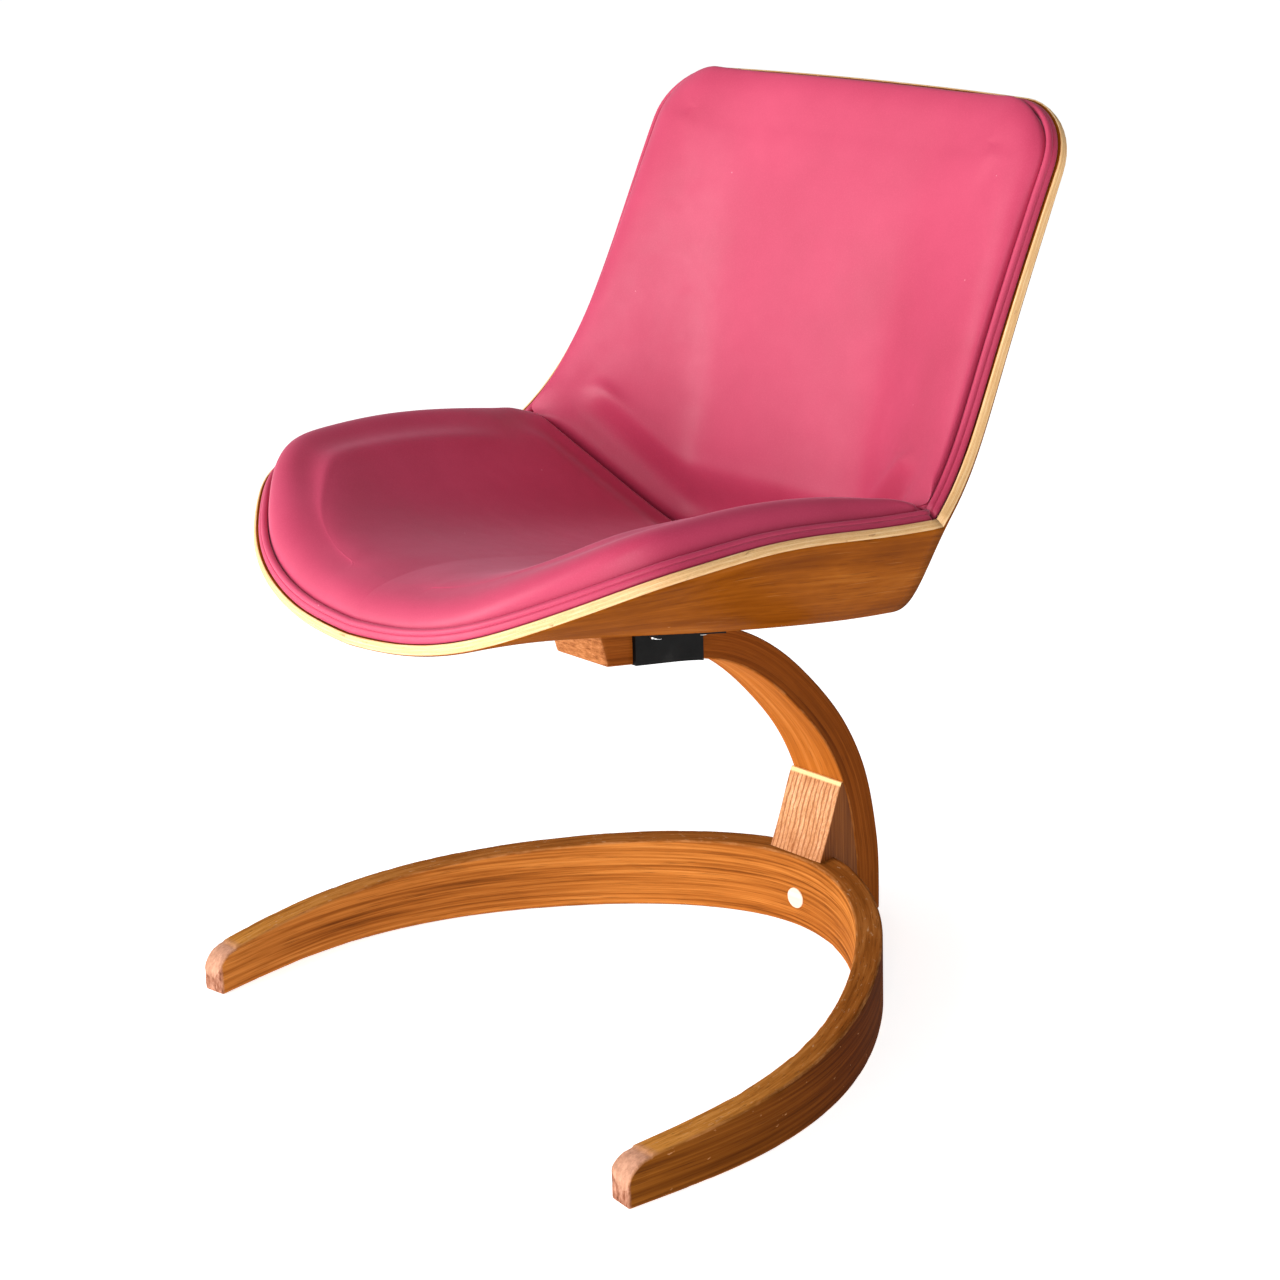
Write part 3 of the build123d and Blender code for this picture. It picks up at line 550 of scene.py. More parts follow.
def bow_wood(name):
    """laminated upright: smooth lighter face inside the bend, laminate lines on its sides"""
    g = Graph(name)
    gc, face = g.attr("gc", True), g.attr("face", True)
    broad, lines, pores = grain(g, gc, 3.5, 55.0, 6.1)
    inner, outer, side = g.split(face)
    tip, rim = g.attr("tip"), g.attr("rim")
    fig = g.math("ADD", g.math("MULTIPLY", broad, 0.55), g.math("MULTIPLY", lines, 0.45))
    c_in = g.ramp(fig, [(0.30, rgb(140, 74, 22)), (0.50, rgb(176, 100, 36)), (0.72, rgb(200, 126, 60))])
    c_side = g.ramp(fig, [(0.30, rgb(84, 38, 8)), (0.50, rgb(122, 60, 14)), (0.72, rgb(158, 88, 32))])
    col = g.mix(inner, c_side, c_in)
    # laminations, 2.5 mm each, seen on the two sides
    thick = g.split(gc)[1]
    lam = g.math("FRACT", g.math("MULTIPLY", g.math("ADD", thick, g.math("MULTIPLY", g.math("SUBTRACT", broad, 0.5), 0.0012)), 400.0))
    line = g.math("MULTIPLY", g.span(g.math("ABSOLUTE", g.math("SUBTRACT", lam, 0.5)), 0.40, 0.50, 0.0, 0.55), side)
    col = g.mix(line, col, rgb(66, 28, 6))
    layer = g.noise(g.join(0.0, g.math("MULTIPLY", g.math("FLOOR", g.math("MULTIPLY", thick, 400.0)), 7.31), 0.0), 1.0, 0.0)
    col = g.mix(g.math("MULTIPLY", g.span(layer, 0.35, 0.65, 0.0, 0.35), side), col, rgb(160, 86, 30))
    wear = g.noise(g.scaled(gc, (45.0, 160.0, 160.0)), 1.0, 5.0, 0.65)
    wr = g.math("MULTIPLY", g.span(wear, 0.48, 0.68, 0.0, 0.5), rim)
    col = g.mix(wr, col, rgb(176, 114, 62))
    tipn = g.noise(g.scaled(gc, (260.0, 300.0, 120.0)), 1.0, 5.0, 0.7)
    c_tip = g.ramp(tipn, [(0.30, rgb(120, 62, 28)), (0.55, rgb(186, 118, 70)), (0.78, rgb(214, 154, 104))])
    col = g.mix(tip, col, c_tip)
    pore = g.span(pores, 0.60, 0.72, 0.0, 0.45)
    col = g.mix(pore, col, rgb(70, 32, 10))
    g.set(Base_Color=col)
    g.set(Roughness=g.math("ADD", g.span(fig, 0.3, 0.7, 0.46, 0.35), g.math("MULTIPLY", g.math("MAXIMUM", wr, tip), 0.2), clamp=True))
    g.bsdf.inputs["Specular IOR Level"].default_value = 0.0
    g.bsdf.inputs["Coat Weight"].default_value = 0.04
    g.bsdf.inputs["Coat Roughness"].default_value = 0.28
    n1 = g.bump(lines, 0.14, 0.0005)
    n2 = g.bump(line, 0.30, -0.0003, n1)
    n3 = g.bump(pore, 0.2, -0.0003, n2)
    g.set(Normal=n3)
    return g.mat


def shell_veneer(name):
    """brown veneer of the moulded shell's outside: mottled, satin, a few old knocks"""
    g = Graph(name)
    gc = g.attr("gc", True)
    broad, lines, pores = grain(g, gc, 4.0, 26.0, 4.4)
    cloud = g.noise(g.scaled(gc, (9.0, 14.0, 14.0)), 1.0, 4.0, 0.6, 0.4)
    fig = g.math("ADD", g.math("MULTIPLY", broad, 0.4), g.math("ADD", g.math("MULTIPLY", lines, 0.25), g.math("MULTIPLY", cloud, 0.35)))
    col = g.ramp(fig, [(0.30, rgb(88, 40, 4)), (0.46, rgb(122, 62, 8)), (0.56, rgb(140, 75, 15)), (0.72, rgb(164, 98, 34))])
    pore = g.span(pores, 0.58, 0.72, 0.0, 0.45)
    col = g.mix(pore, col, rgb(74, 34, 8))
    nick = g.noise(g.scaled(gc, (38.0, 70.0, 70.0), (5, 3, 0)), 1.0, 3.0, 0.55)
    nk = g.span(nick, 0.735, 0.765, 0.0, 0.85)
    col = g.mix(nk, col, rgb(206, 150, 92))
    scr = g.noise(g.scaled(gc, (14.0, 420.0, 420.0), (1, 8, 0), (0, 0, 0.5)), 1.0, 2.0, 0.4)
    col = g.mix(g.span(scr, 0.70, 0.76, 0.0, 0.35), col, rgb(196, 138, 80))
    g.set(Base_Color=col)
    g.set(Roughness=g.span(fig, 0.3, 0.7, 0.46, 0.34))
    g.bsdf.inputs["Specular IOR Level"].default_value = 0.0
    g.bsdf.inputs["Coat Weight"].default_value = 0.04
    g.bsdf.inputs["Coat Roughness"].default_value = 0.25
    n1 = g.bump(lines, 0.12, 0.0005)
    n2 = g.bump(g.math("MAXIMUM", nk, pore), 0.25, -0.0005, n1)
    g.set(Normal=n2)
    return g.mat


def ply_edge(name):
    """bare edge of the plywood: cream layers with thin glue lines and small knocks"""
    g = Graph(name)
    gc = g.attr("gc", True)
    sx = g.split(gc)
    wave = g.noise(g.scaled(gc, (14.0, 14.0, 0.0)), 1.0, 2.0, 0.5)
    depth = g.math("ADD", sx[2], g.math("MULTIPLY", g.math("SUBTRACT", wave, 0.5), 0.0006))
    lay = g.math("MULTIPLY", depth, 1000.0 / 1.583)
    frac = g.math("FRACT", lay)
    odd = g.math("GREATER_THAN", g.math("FRACT", g.math("MULTIPLY", lay, 0.5)), 0.5)
    fib = g.noise(g.scaled(gc, (50.0, 50.0, 2500.0)), 1.0, 4.0, 0.6)
    dots = g.noise(g.scaled(gc, (700.0, 700.0, 1600.0)), 1.0, 2.0, 0.5)
    c_a = g.ramp(fib, [(0.30, rgb(214, 158, 96)), (0.55, rgb(238, 196, 140)), (0.75, rgb(250, 224, 180))])
    c_b = g.ramp(dots, [(0.30, rgb(192, 134, 74)), (0.55, rgb(222, 170, 108)), (0.75, rgb(238, 200, 144))])
    col = g.mix(g.math("MULTIPLY", odd, 0.5), c_a, c_b)
    glue = g.span(g.math("ABSOLUTE", g.math("SUBTRACT", frac, 0.5)), 0.42, 0.50, 0.0, 0.28)
    col = g.mix(glue, col, rgb(150, 92, 44))
    ding = g.noise(g.scaled(gc, (60.0, 60.0, 240.0), (2, 7, 1)), 1.0, 4.0, 0.6)
    dg = g.span(ding, 0.66, 0.72, 0.0, 0.7)
    col = g.mix(dg, col, rgb(150, 94, 48))
    g.set(Base_Color=col)
    g.set(Roughness=g.span(fib, 0.3, 0.7, 0.42, 0.56))
    n1 = g.bump(glue, 0.35, -0.0003)
    n2 = g.bump(dg, 0.4, -0.0006, n1)
    g.set(Normal=n2)
    return g.mat


def oak_block(name, top):
    """oak of the knee block: pale front with coarse upright grain, a bare upper arris, painted shade on the cheeks
    and towards the foot
    """
    g = Graph(name)
    p = g.obj()
    px = g.split(p)
    gc = g.join(px[2], px[0], px[1])
    broad, lines, pores = grain(g, gc, 5.0, 90.0, 1.3)
    fig = g.math("ADD", g.math("MULTIPLY", broad, 0.45), g.math("MULTIPLY", lines, 0.55))
    col = g.ramp(fig, [(0.32, rgb(170, 110, 66)), (0.46, rgb(206, 146, 98)), (0.58, rgb(226, 168, 122)), (0.72, rgb(238, 190, 148))])
    sway = g.noise(g.scaled(p, (30.0, 30.0, 11.0)), 1.0, 3.0, 0.55)
    phase = g.math("ADD", g.math("MULTIPLY", px[0], 1150.0), g.math("MULTIPLY", sway, 16.0))
    ring = g.math("SINE", phase)
    thin = g.noise(g.scaled(gc, (24.0, 700.0, 700.0)), 1.0, 3.0, 0.6)
    ring = g.math("ADD", ring, g.math("MULTIPLY", g.math("SUBTRACT", thin, 0.5), 1.6))
    rg = g.span(ring, 0.25, 0.95, 0.0, 0.75)
    col = g.mix(rg, col, rgb(134, 78, 40))
    pore = g.span(pores, 0.58, 0.70, 0.0, 0.6)
    col = g.mix(pore, col, rgb(120, 66, 30))
    # painted shade: darker towards the foot, where the block meets the hoop
    foot = g.span(px[2], 0.078, 0.10, 0.35, 0.0)
    col = g.mix(foot, col, rgb(150, 84, 40))
    bare = g.span(px[2], top - 0.0042, top - 0.0026, 0.0, 0.9)
    col = g.mix(bare, col, rgb(250, 222, 160))
    # painted shade: faces turned to either side (the cheeks) get a darker copy of the oak
    turn = g.t.nodes.new("ShaderNodeTexCoord").outputs["Normal"]
    painted_shade_cheek = g.span(g.math("ABSOLUTE", g.split(turn)[0]), 0.55, 0.75)
    dark = g.ramp(fig, [(0.30, rgb(84, 40, 12)), (0.50, rgb(122, 66, 22)), (0.70, rgb(156, 92, 38))])
    col = g.mix(painted_shade_cheek, col, dark)
    g.set(Base_Color=col)
    g.set(Roughness=g.span(fig, 0.3, 0.7, 0.58, 0.44))
    g.bsdf.inputs["Specular IOR Level"].default_value = 0.1
    n1 = g.bump(lines, 0.22, 0.0006)
    n2 = g.bump(g.math("MAXIMUM", pore, rg), 0.30, -0.0004, n1)
    g.set(Normal=n2)
    return g.mat


def plain_wood(name, dark, light, axis=0):
    g = Graph(name)
    p = g.obj()
    px = g.split(p)
    order = [(0, 1, 2), (1, 0, 2), (2, 0, 1)][axis]
    gc = g.join(px[order[0]], px[order[1]], px[order[2]])
    broad, lines, pores = grain(g, gc, 6.0, 120.0, 0.4)
    fig = g.math("ADD", g.math("MULTIPLY", broad, 0.5), g.math("MULTIPLY", lines, 0.5))
    col = g.ramp(fig, [(0.33, dark), (0.66, light)])
    g.set(Base_Color=col)
    g.set(Roughness=g.span(fig, 0.3, 0.7, 0.62, 0.48))
    g.set(Normal=g.bump(lines, 0.2, 0.0004))
    return g.mat


def painted_steel(name):
    """matt black enamel on the bracket with a faint orange peel and rubbed places"""
    g = Graph(name)
    p = g.obj()
    peel = g.noise(p, 700.0, 2.0, 0.5)
    patch = g.noise(p, 40.0, 5.0, 0.65)
    rub = g.span(patch, 0.63, 0.72, 0.0, 0.6)
    col = g.mix(rub, g.ramp(patch, [(0.3, rgb(5, 5, 5)), (0.7, rgb(13, 13, 13))]), rgb(30, 28, 27))
    g.set(Base_Color=col)
    g.set(Roughness=g.span(patch, 0.3, 0.7, 0.58, 0.44))
    g.bsdf.inputs["Specular IOR Level"].default_value = 0.12
    g.set(Normal=g.bump(peel, 0.12, 0.0003))
    return g.mat


def metal(name, tint, rough_a, rough_b, dull):
    """plated steel: turned streaks, patches of dull oxide"""
    g = Graph(name)
    p = g.obj()
    streak = g.noise(g.scaled(p, (900.0, 900.0, 120.0)), 1.0, 3.0, 0.6)
    patch = g.noise(p, 160.0, 5.0, 0.65)
    ox = g.span(patch, 0.52, 0.66, 0.0, 0.65)
    col = g.mix(ox, g.mix(g.span(streak, 0.3, 0.7, 0.0, 0.35), tint, rgb(255, 255, 255)), dull)
    g.set(Base_Color=col)
    g.set(Metallic=g.span(patch, 0.5, 0.75, 1.0, 0.75))
    g.set(Roughness=g.span(streak, 0.3, 0.7, rough_a, rough_b))
    g.set(Normal=g.bump(streak, 0.1, 0.0002))
    return g.mat


def plastic(name, a, b):
    """moulded plastic with a fine spark texture"""
    g = Graph(name)
    p = g.obj()
    fine = g.noise(p, 1600.0, 3.0, 0.6)
    slow = g.noise(p, 60.0, 3.0, 0.5)
    g.set(Base_Color=g.ramp(slow, [(0.3, a), (0.7, b)]))
    g.set(Roughness=g.span(fine, 0.3, 0.7, 0.38, 0.55))
    g.set(Normal=g.bump(fine, 0.15, 0.0002))
    return g.mat


M_VINYL = vinyl("raspberry_vinyl")
M_PIPE = vinyl("piping_vinyl")
M_HOOP = hoop_wood("hoop_oak")
M_BOW = bow_wood("bow_laminate")
M_VENEER = shell_veneer("shell_veneer")
M_PLY = ply_edge("ply_edge")
M_KNEE = oak_block("knee_oak", max((NODES["knee_block"].matrix_world @ v.co).z for v in NODES["knee_block"].data.vertices))
M_DOWEL = plain_wood("beech_dowel", rgb(196, 150, 104), rgb(228, 190, 146), 2)
M_BLACK = painted_steel("black_enamel")
M_ZINC = metal("zinc_plate", rgb(186, 188, 190), 0.30, 0.46, rgb(140, 138, 132))
M_BRIGHT = metal("bright_steel", rgb(214, 214, 212), 0.20, 0.34, rgb(168, 164, 158))
M_PLUG = plain_wood("plug_birch", rgb(226, 186, 160), rgb(246, 222, 202), 0)
M_CLIP = plastic("clip_nylon", rgb(214, 210, 198), rgb(228, 226, 216))


# =====================================================================
# pieces
# =====================================================================
def pile(name, mats, slot, replaced, **kw):
    ob = new_object(name, mats=mats, **kw)
    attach(ob, "root")
    if replaced:
        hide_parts(*replaced)
    return ob


# ---------------------------------------------------------------- floor hoop
HOOP_RUN, HOOP_T = 620.0, 24.0
HOOP_H = (72.0, 59.4, 38.3)
HOOP_BEND = (6.847, 3.183, 1.685, 2.838, 2.778, -0.391)
HOOP_TIP_R, ARRIS = 24.0, 2.4


def make_hoop():
    run = np.linspace(0, HOOP_RUN, 1241)
    bend = np.interp(run, np.linspace(0, HOOP_RUN, len(HOOP_BEND)), HOOP_BEND) / 1000.0
    step = run[1]
    head = np.r_[0, np.cumsum((bend[1:] + bend[:-1]) / 2 * step)]
    hx = np.r_[0, np.cumsum((np.cos(head[1:]) + np.cos(head[:-1])) / 2 * step)]
    hy = -np.r_[0, np.cumsum((np.sin(head[1:]) + np.sin(head[:-1])) / 2 * step)]
    u = run / HOOP_RUN
    high = (HOOP_H[0] * (1 - u) * (1 - 2 * u) + HOOP_H[1] * 4 * u * (1 - u) + HOOP_H[2] * u * (2 * u - 1))
    o_end = np.array([hx[-1], hy[-1]]) + 12 * np.array([np.sin(head[-1]), np.cos(head[-1])])
    i_end = np.array([hx[-1], hy[-1]]) - 12 * np.array([np.sin(head[-1]), np.cos(head[-1])])
    tip_y = min(o_end[1], i_end[1])
    order = np.argsort(hy)

    def top_z(y):
        z = np.interp(y, hy[order], high[order], right=HOOP_H[0] + 0.2)
        q = np.clip(tip_y + HOOP_TIP_R - y, 0, HOOP_TIP_R)
        return np.where(q > 0, np.minimum(z, HOOP_H[2] + 0.6 - HOOP_TIP_R + np.sqrt(HOOP_TIP_R**2 - q**2)), z)

    half = np.r_[np.linspace(0, 585, 118), np.linspace(588, 617, 18), 618.2, 619.0, 619.6, 620.0]
    runs = np.r_[-half[:0:-1], half]
    # outline of a section: inner face, top, outer face, underside, with eased arrises
    ring, tags = [], []

    def arc(cx, cz, a0, a1, k=5):
        for q in np.linspace(a0, a1, k):
            ring.append((cx, cz, math.cos(q), math.sin(q)))
    pi = math.pi
    for f in np.linspace(0.08, 0.92, 9):
        ring.append((-1, f, -1, None))
    arc(-1, 1, pi, pi / 2)
    for f in np.linspace(-0.7, 0.7, 6):
        ring.append((f, 1, None, 1))
    arc(1, 1, pi / 2, 0)
    for f in np.linspace(0.92, 0.08, 9):
        ring.append((1, f, 1, None))
    arc(1, 0, 0, -pi / 2)
    for f in np.linspace(0.7, -0.7, 4):
        ring.append((f, 0, None, -1))
    arc(-1, 0, -pi / 2, -pi)
    verts, gc, face, tip, rim = [], [], [], [], []
    k = len(ring)
    for s in runs:
        a, sg = abs(s), (1 if s >= 0 else -1)
        th = np.interp(a, run, head)
        c = np.array([np.interp(a, run, hx), np.interp(a, run, hy)])
        nrm = np.array([math.sin(th), math.cos(th)])
        q = HOOP_RUN - a
        ins = ARRIS - math.sqrt(max(ARRIS**2 - max(ARRIS - q, 0)**2, 0))
        for (cx, cz, vx, vz) in ring:
            r = max(ARRIS - ins, 0.25)
            w = HOOP_T / 2 - ins
            n = cx * (w - r) if abs(cx) == 1 else cx * (w - r)
            if abs(cx) == 1:
                n = cx * w if vz is None else cx * (w - r) + r * vx
            xy = c + n * nrm
            zt = float(top_z(xy[1])) - ins
            zb = ins
            if vz is None:
                z = zb + r + (zt - zb - 2 * r) * cz
            elif vx is None:
                z = zt if cz == 1 else zb
            else:
                z = (zt - r if cz == 1 else zb + r) + r * vz
            verts.append((sg * xy[0], xy[1], z))
            gc.append((s * 0.001, n * 0.001, z * 0.001))
            nx = vx if vx is not None else 0.0
            nz = vz if vz is not None else 0.0
            face.append((max(-nx, 0)**2, max(nx, 0)**2, max(nz, 0)**2))
            corner = 1.0 if (vx is not None and vz is not None and 0.15 < abs(vx) < 0.99) else 0.0
            rim.append(max(corner, 1.0 if q < 1.5 else 0.0))
            worn = float(np.clip((tip_y + HOOP_TIP_R + 7.0 - xy[1]) / 11.0, 0, 1)) * nz if nz > 0 else 0.0
            tip.append(max(float(np.clip(1 - (q - 0.6) / 2.2, 0, 1)), worn))
    faces = []
    nr = len(runs)
    for i in range(nr - 1):
        for j in range(k):
            jj = (j + 1) % k
            faces.append((i * k + j, i * k + jj, (i + 1) * k + jj, (i + 1) * k + j))
    verts, gc, face = np.array(verts), np.array(gc), np.array(face)
    for row in (0, nr - 1):
        ids = list(range(row * k, row * k + k))
        mid = len(verts)
        verts = np.vstack([verts, verts[ids].mean(0)])
        gc = np.vstack([gc, gc[ids].mean(0)])
        face = np.vstack([face, [0, 0, 0]])
        tip.append(1.0)
        rim.append(0.0)
        for j in range(k):
            faces.append((ids[j], ids[(j + 1) % k], mid))
    # knocks along the arrises and at the tips
    for i, p in enumerate(verts):
        if rim[i] > 0:
            f = noise.noise(Vector((p[0] * 0.045, p[1] * 0.045, p[2] * 0.06))) + 0.5 * noise.noise(Vector((p[0] * 0.16, p[1] * 0.16, p[2] * 0.16 + 7)))
            amt = max(f - 0.12, 0) * (2.2 if tip[i] > 0.2 else 1.1)
            cen = np.array([p[0], p[1], 30.0])
            th = math.atan2(gc[i][1], 0.001)
            s = gc[i][0] * 1000
            a = abs(s)
            hd = np.interp(a, run, head)
            sg = 1 if s >= 0 else -1
            nn = np.array([sg * math.sin(hd), math.cos(hd), 0])
            inward = -np.sign(gc[i][1]) * nn + np.array([0, 0, -1.0 if p[2] > 20 else 0.0])
            verts[i] = p + unit(inward) * min(amt, 1.4)
    verts[:, 2] = np.maximum(verts[:, 2], 0.0)
    return pile("floor_hoop", [M_HOOP], "hoop_wood", ["base_hoop"], verts=verts, faces=faces,
                vectors={"gc": gc, "face": face}, floats={"tip": tip, "rim": rim})


hoop = make_hoop()

# ---------------------------------------------------------------- upright bow
BOW_W, BOW_T, BOW_RAKE = 66.0, 30.0, 14.0
BOW_OUTER = np.array([(67.6, 2.0), (67.8, 34.0), (66.6, 66.0), (62.6, 95.0), (56.6, 125.0),
                      (48.2, 153.0), (37.0, 178.5), (21.0, 206.0), (1.0, 232.5), (-21.0, 257.0),
                      (-49.0, 284.0), (-76.0, 304.5), (-102.0, 319.5), (-130.0, 331.0),
                      (-160.0, 339.2), (-198.0, 346.0), (-236.0, 352.2), (-272.0, 358.3)])
bow_seg = np.r_[0, np.cumsum(np.linalg.norm(np.diff(BOW_OUTER, axis=0), axis=1))]
bow_fy, bow_fz = spline1(bow_seg, BOW_OUTER[:, 0]), spline1(bow_seg, BOW_OUTER[:, 1])


def bow_at(s):
    y, z = float(bow_fy(s)), float(bow_fz(s))
    dy, dz = float(bow_fy(s + 0.5) - bow_fy(s - 0.5)), float(bow_fz(s + 0.5) - bow_fz(s - 0.5))
    dl = math.hypot(dy, dz)
    return np.array([y, z]), np.array([-dz, dy]) / dl


def make_bow():
    total = float(bow_seg[-1])
    rows = np.r_[0.0, 0.5, 1.3, 2.4, np.linspace(6, total - 6, 118), total - 2.4, total - 1.3, total - 0.5, total]
    ring = []

    def arc(ca, cx, a0, a1, k=5):
        for q in np.linspace(a0, a1, k):
            ring.append((ca, cx, math.cos(q), math.sin(q)))
    pi = math.pi
    for f in np.linspace(0.93, -0.93, 9):
        ring.append((0, f, -1, None))            # outer (rear, upper) face
    arc(0, -1, -pi, -pi / 2)
    for f in np.linspace(0.12, 0.88, 8):
        ring.append((f, -1, None, -1))
    arc(1, -1, -pi / 2, 0)
    for f in np.linspace(-0.93, 0.93, 9):
        ring.append((1, f, 1, None))             # inner face
    arc(1, 1, 0, pi / 2)
    for f in np.linspace(0.88, 0.12, 8):
        ring.append((f, 1, None, 1))
    arc(0, 1, pi / 2, pi)
    verts, gc, face, tip, rim = [], [], [], [], []
    for s in rows:
        q = min(s, total - s)
        ins = ARRIS - math.sqrt(max(ARRIS**2 - max(ARRIS - q, 0)**2, 0))
        r = max(ARRIS - ins, 0.25)
        for (ca, cx, va, vx) in ring:
            lo, hi, w = ins, BOW_T - ins, BOW_W / 2 - ins
            if vx is None:
                a, x = (lo if ca == 0 else hi), cx * (w - r)
            elif va is None:
                a, x = lo + r + (hi - lo - 2 * r) * ca, cx * w
            else:
                a, x = (lo + r if ca == 0 else hi - r) + r * va, cx * (w - r) + r * vx
            back = BOW_RAKE * (a / BOW_T) * np.clip((s - (total - 60)) / 60, 0, 1)
            o, nv = bow_at(s - back)
            p = o + a * nv
            z = p[1]
            if s < 30:
                z = z + (2.0 + (s - 0) - z) * np.clip(1 - s / 30, 0, 1)
            verts.append((x, p[0], max(z, 2.0)))
            gc.append(((s - back) * 0.001, a * 0.001, x * 0.001))
            na = va if va is not None else 0.0
            nx = vx if vx is not None else 0.0
            face.append((max(na, 0)**2, max(-na, 0)**2, nx**2))
            corner = 1.0 if (va is not None and vx is not None and 0.15 < abs(va) < 0.99) else 0.0
            rim.append(max(corner, 1.0 if q < 1.5 else 0.0))
            tip.append(float(np.clip(1 - (q - 0.6) / 2.0, 0, 1)))
    k, nr = len(ring), len(rows)
    faces = []
    for i in range(nr - 1):
        for j in range(k):
            jj = (j + 1) % k
            faces.append((i * k + j, i * k + jj, (i + 1) * k + jj, (i + 1) * k + j))
    verts, gc, face = np.array(verts), np.array(gc), np.array(face)
    for row in (0, nr - 1):
        ids = list(range(row * k, row * k + k))
        mid = len(verts)
        verts = np.vstack([verts, verts[ids].mean(0)])
        gc = np.vstack([gc, gc[ids].mean(0)])
        face = np.vstack([face, [0, 0, 0]])
        tip.append(1.0)
        rim.append(0.0)
        for j in range(k):
            faces.append((ids[j], ids[(j + 1) % k], mid))
    return pile("upright", [M_BOW], "bow_wood", ["upright_bow"], verts=verts, faces=faces,
                vectors={"gc": gc, "face": face}, floats={"tip": tip, "rim": rim})


bow = make_bow()


def drill(ob, holes):
    """sinks round holes (start, end, diameter; metres) into a piece; the cut keeps the wood's figure"""
    keys = [(at.name, "vector" if at.data_type == "FLOAT_VECTOR" else "value", 3 if at.data_type == "FLOAT_VECTOR" else 1)
            for at in ob.data.attributes if at.domain == "POINT" and at.name in ("gc", "face", "tip", "rim")]
    tree = kdtree.KDTree(len(ob.data.vertices))
    for i, v in enumerate(ob.data.vertices):
        tree.insert(v.co, i)
    tree.balance()
    old = {}
    for key, kind, n in keys:
        val = np.zeros(len(ob.data.vertices) * n, np.float32)
        ob.data.attributes[key].data.foreach_get(kind, val)
        old[key] = val.reshape(-1, n)
    for a, b, dia in holes:
        a, b = Vector(a), Vector(b)
        bm = bmesh.new()
        turn = (b - a).to_track_quat("Z", "Y").to_matrix().to_4x4()
        bmesh.ops.create_cone(bm, cap_ends=True, segments=40, radius1=dia / 2, radius2=dia / 2, depth=(b - a).length,
                              matrix=Matrix.Translation((a + b) / 2) @ turn)
        me = bpy.data.meshes.new("drill")
        bm.to_mesh(me)
        bm.free()
        bit = bpy.data.objects.new("drill", me)
        scene.collection.objects.link(bit)
        mod = ob.modifiers.new("hole", "BOOLEAN")
        mod.operation, mod.solver, mod.object = "DIFFERENCE", "EXACT", bit
        cut = bpy.data.meshes.new_from_object(ob.evaluated_get(bpy.context.evaluated_depsgraph_get()))
        ob.modifiers.remove(mod)
        bpy.data.objects.remove(bit)
        bpy.data.meshes.remove(me)
        ob.data = cut
    pick = np.array([tree.find(v.co)[1] for v in ob.data.vertices])
    for key, kind, n in keys:
        if key not in ob.data.attributes:
            ob.data.attributes.new(key, "FLOAT_VECTOR" if n == 3 else "FLOAT", "POINT")
        ob.data.attributes[key].data.foreach_set(kind, old[key][pick].ravel())
    while len(ob.data.materials) > 1:
        ob.data.materials.pop()
    ob.data.update()


# recess for the nut behind the foot, two counterbores under the seat
tilt = Vector((0.0, 0.163, 1.0)).normalized()
bolt_pts = [NODES["bow_bolts"].matrix_world @ v.co for v in NODES["bow_bolts"].data.vertices]
split_y = sum(v.y for v in bolt_pts) / len(bolt_pts)
holes = [((0.0, (55.7 + Y_SHIFT) * 0.001, 0.028), (0.0, (90.0 + Y_SHIFT) * 0.001, 0.028), 0.020)]
for part in ([v for v in bolt_pts if v.y < split_y], [v for v in bolt_pts if v.y >= split_y]):
    low = min(v.dot(tilt) for v in part)
    ring = [v for v in part if v.dot(tilt) < low + 1e-5]
    foot = sum(ring, Vector()) / len(ring)
    holes.append((tuple(foot - tilt * 0.009), tuple(foot + tilt * 0.004), 0.0142))
drill(bow, holes)

# ---------------------------------------------------------------- plywood shell
SEAT_ROWS = np.linspace(0, 1, 73)
BACK_ROWS = np.r_[np.linspace(0, BACK_UC, 57)[:-1], np.linspace(BACK_UC, 1, 12)]
EDGE_LOOPS = [(1.1, 0.0), (0.32, -0.32), (0.0, -1.1), (0.1, -2.6), (0.3, -4.1), (0.6, -5.6),
              (1.0, -7.1), (1.6, -8.2), (2.5, -9.0), (4.0, -9.5)]
VENEER_FROM = 8                        # loops from here on belong to the outer veneer


def make_shell(name, place, u_rows, slot, node, along):
    sh = Sheet(place, len(u_rows), 105, u_rows)
    last = sh.grid(EDGE_LOOPS[0][0], 0.0, 0.1, 0)
    for k, (d, h) in enumerate(EDGE_LOOPS[1:-1], 1):
        ids = sh.loop(d, h, 0.1, True)
        sh.strip(last, ids, 1 if k < VENEER_FROM else 0)
        last = ids
    ids = sh.grid(EDGE_LOOPS[-1][0], EDGE_LOOPS[-1][1], 0.1, 0, True)
    sh.strip(last, ids, 0)
    verts, faces, tag, uv, hh, dd = sh.done()
    if along == "seat":
        ax = np.abs(verts[:, 0])
        across = np.sign(verts[:, 0]) * np.where(ax < 130, ax, 130 + (ax - 130) * 1.33)
        gc = np.stack([verts[:, 1] * 0.001, across * 0.001, -hh * 0.001], -1)
    else:
        gc = np.stack([uv[:, 1] * 0.44, uv[:, 0] * 0.29, -hh * 0.001], -1)
    return pile(name, [M_VENEER, M_PLY], slot, [node], verts=verts, faces=faces, face_mat=tag,
                vectors={"gc": gc})


seat_ply = make_shell("seat_plywood", seat_place, SEAT_ROWS, "shell_ply", "seat_shell", "seat")
back_ply = make_shell("back_plywood", back_place, BACK_ROWS, "shell_ply", "back_shell", "back")

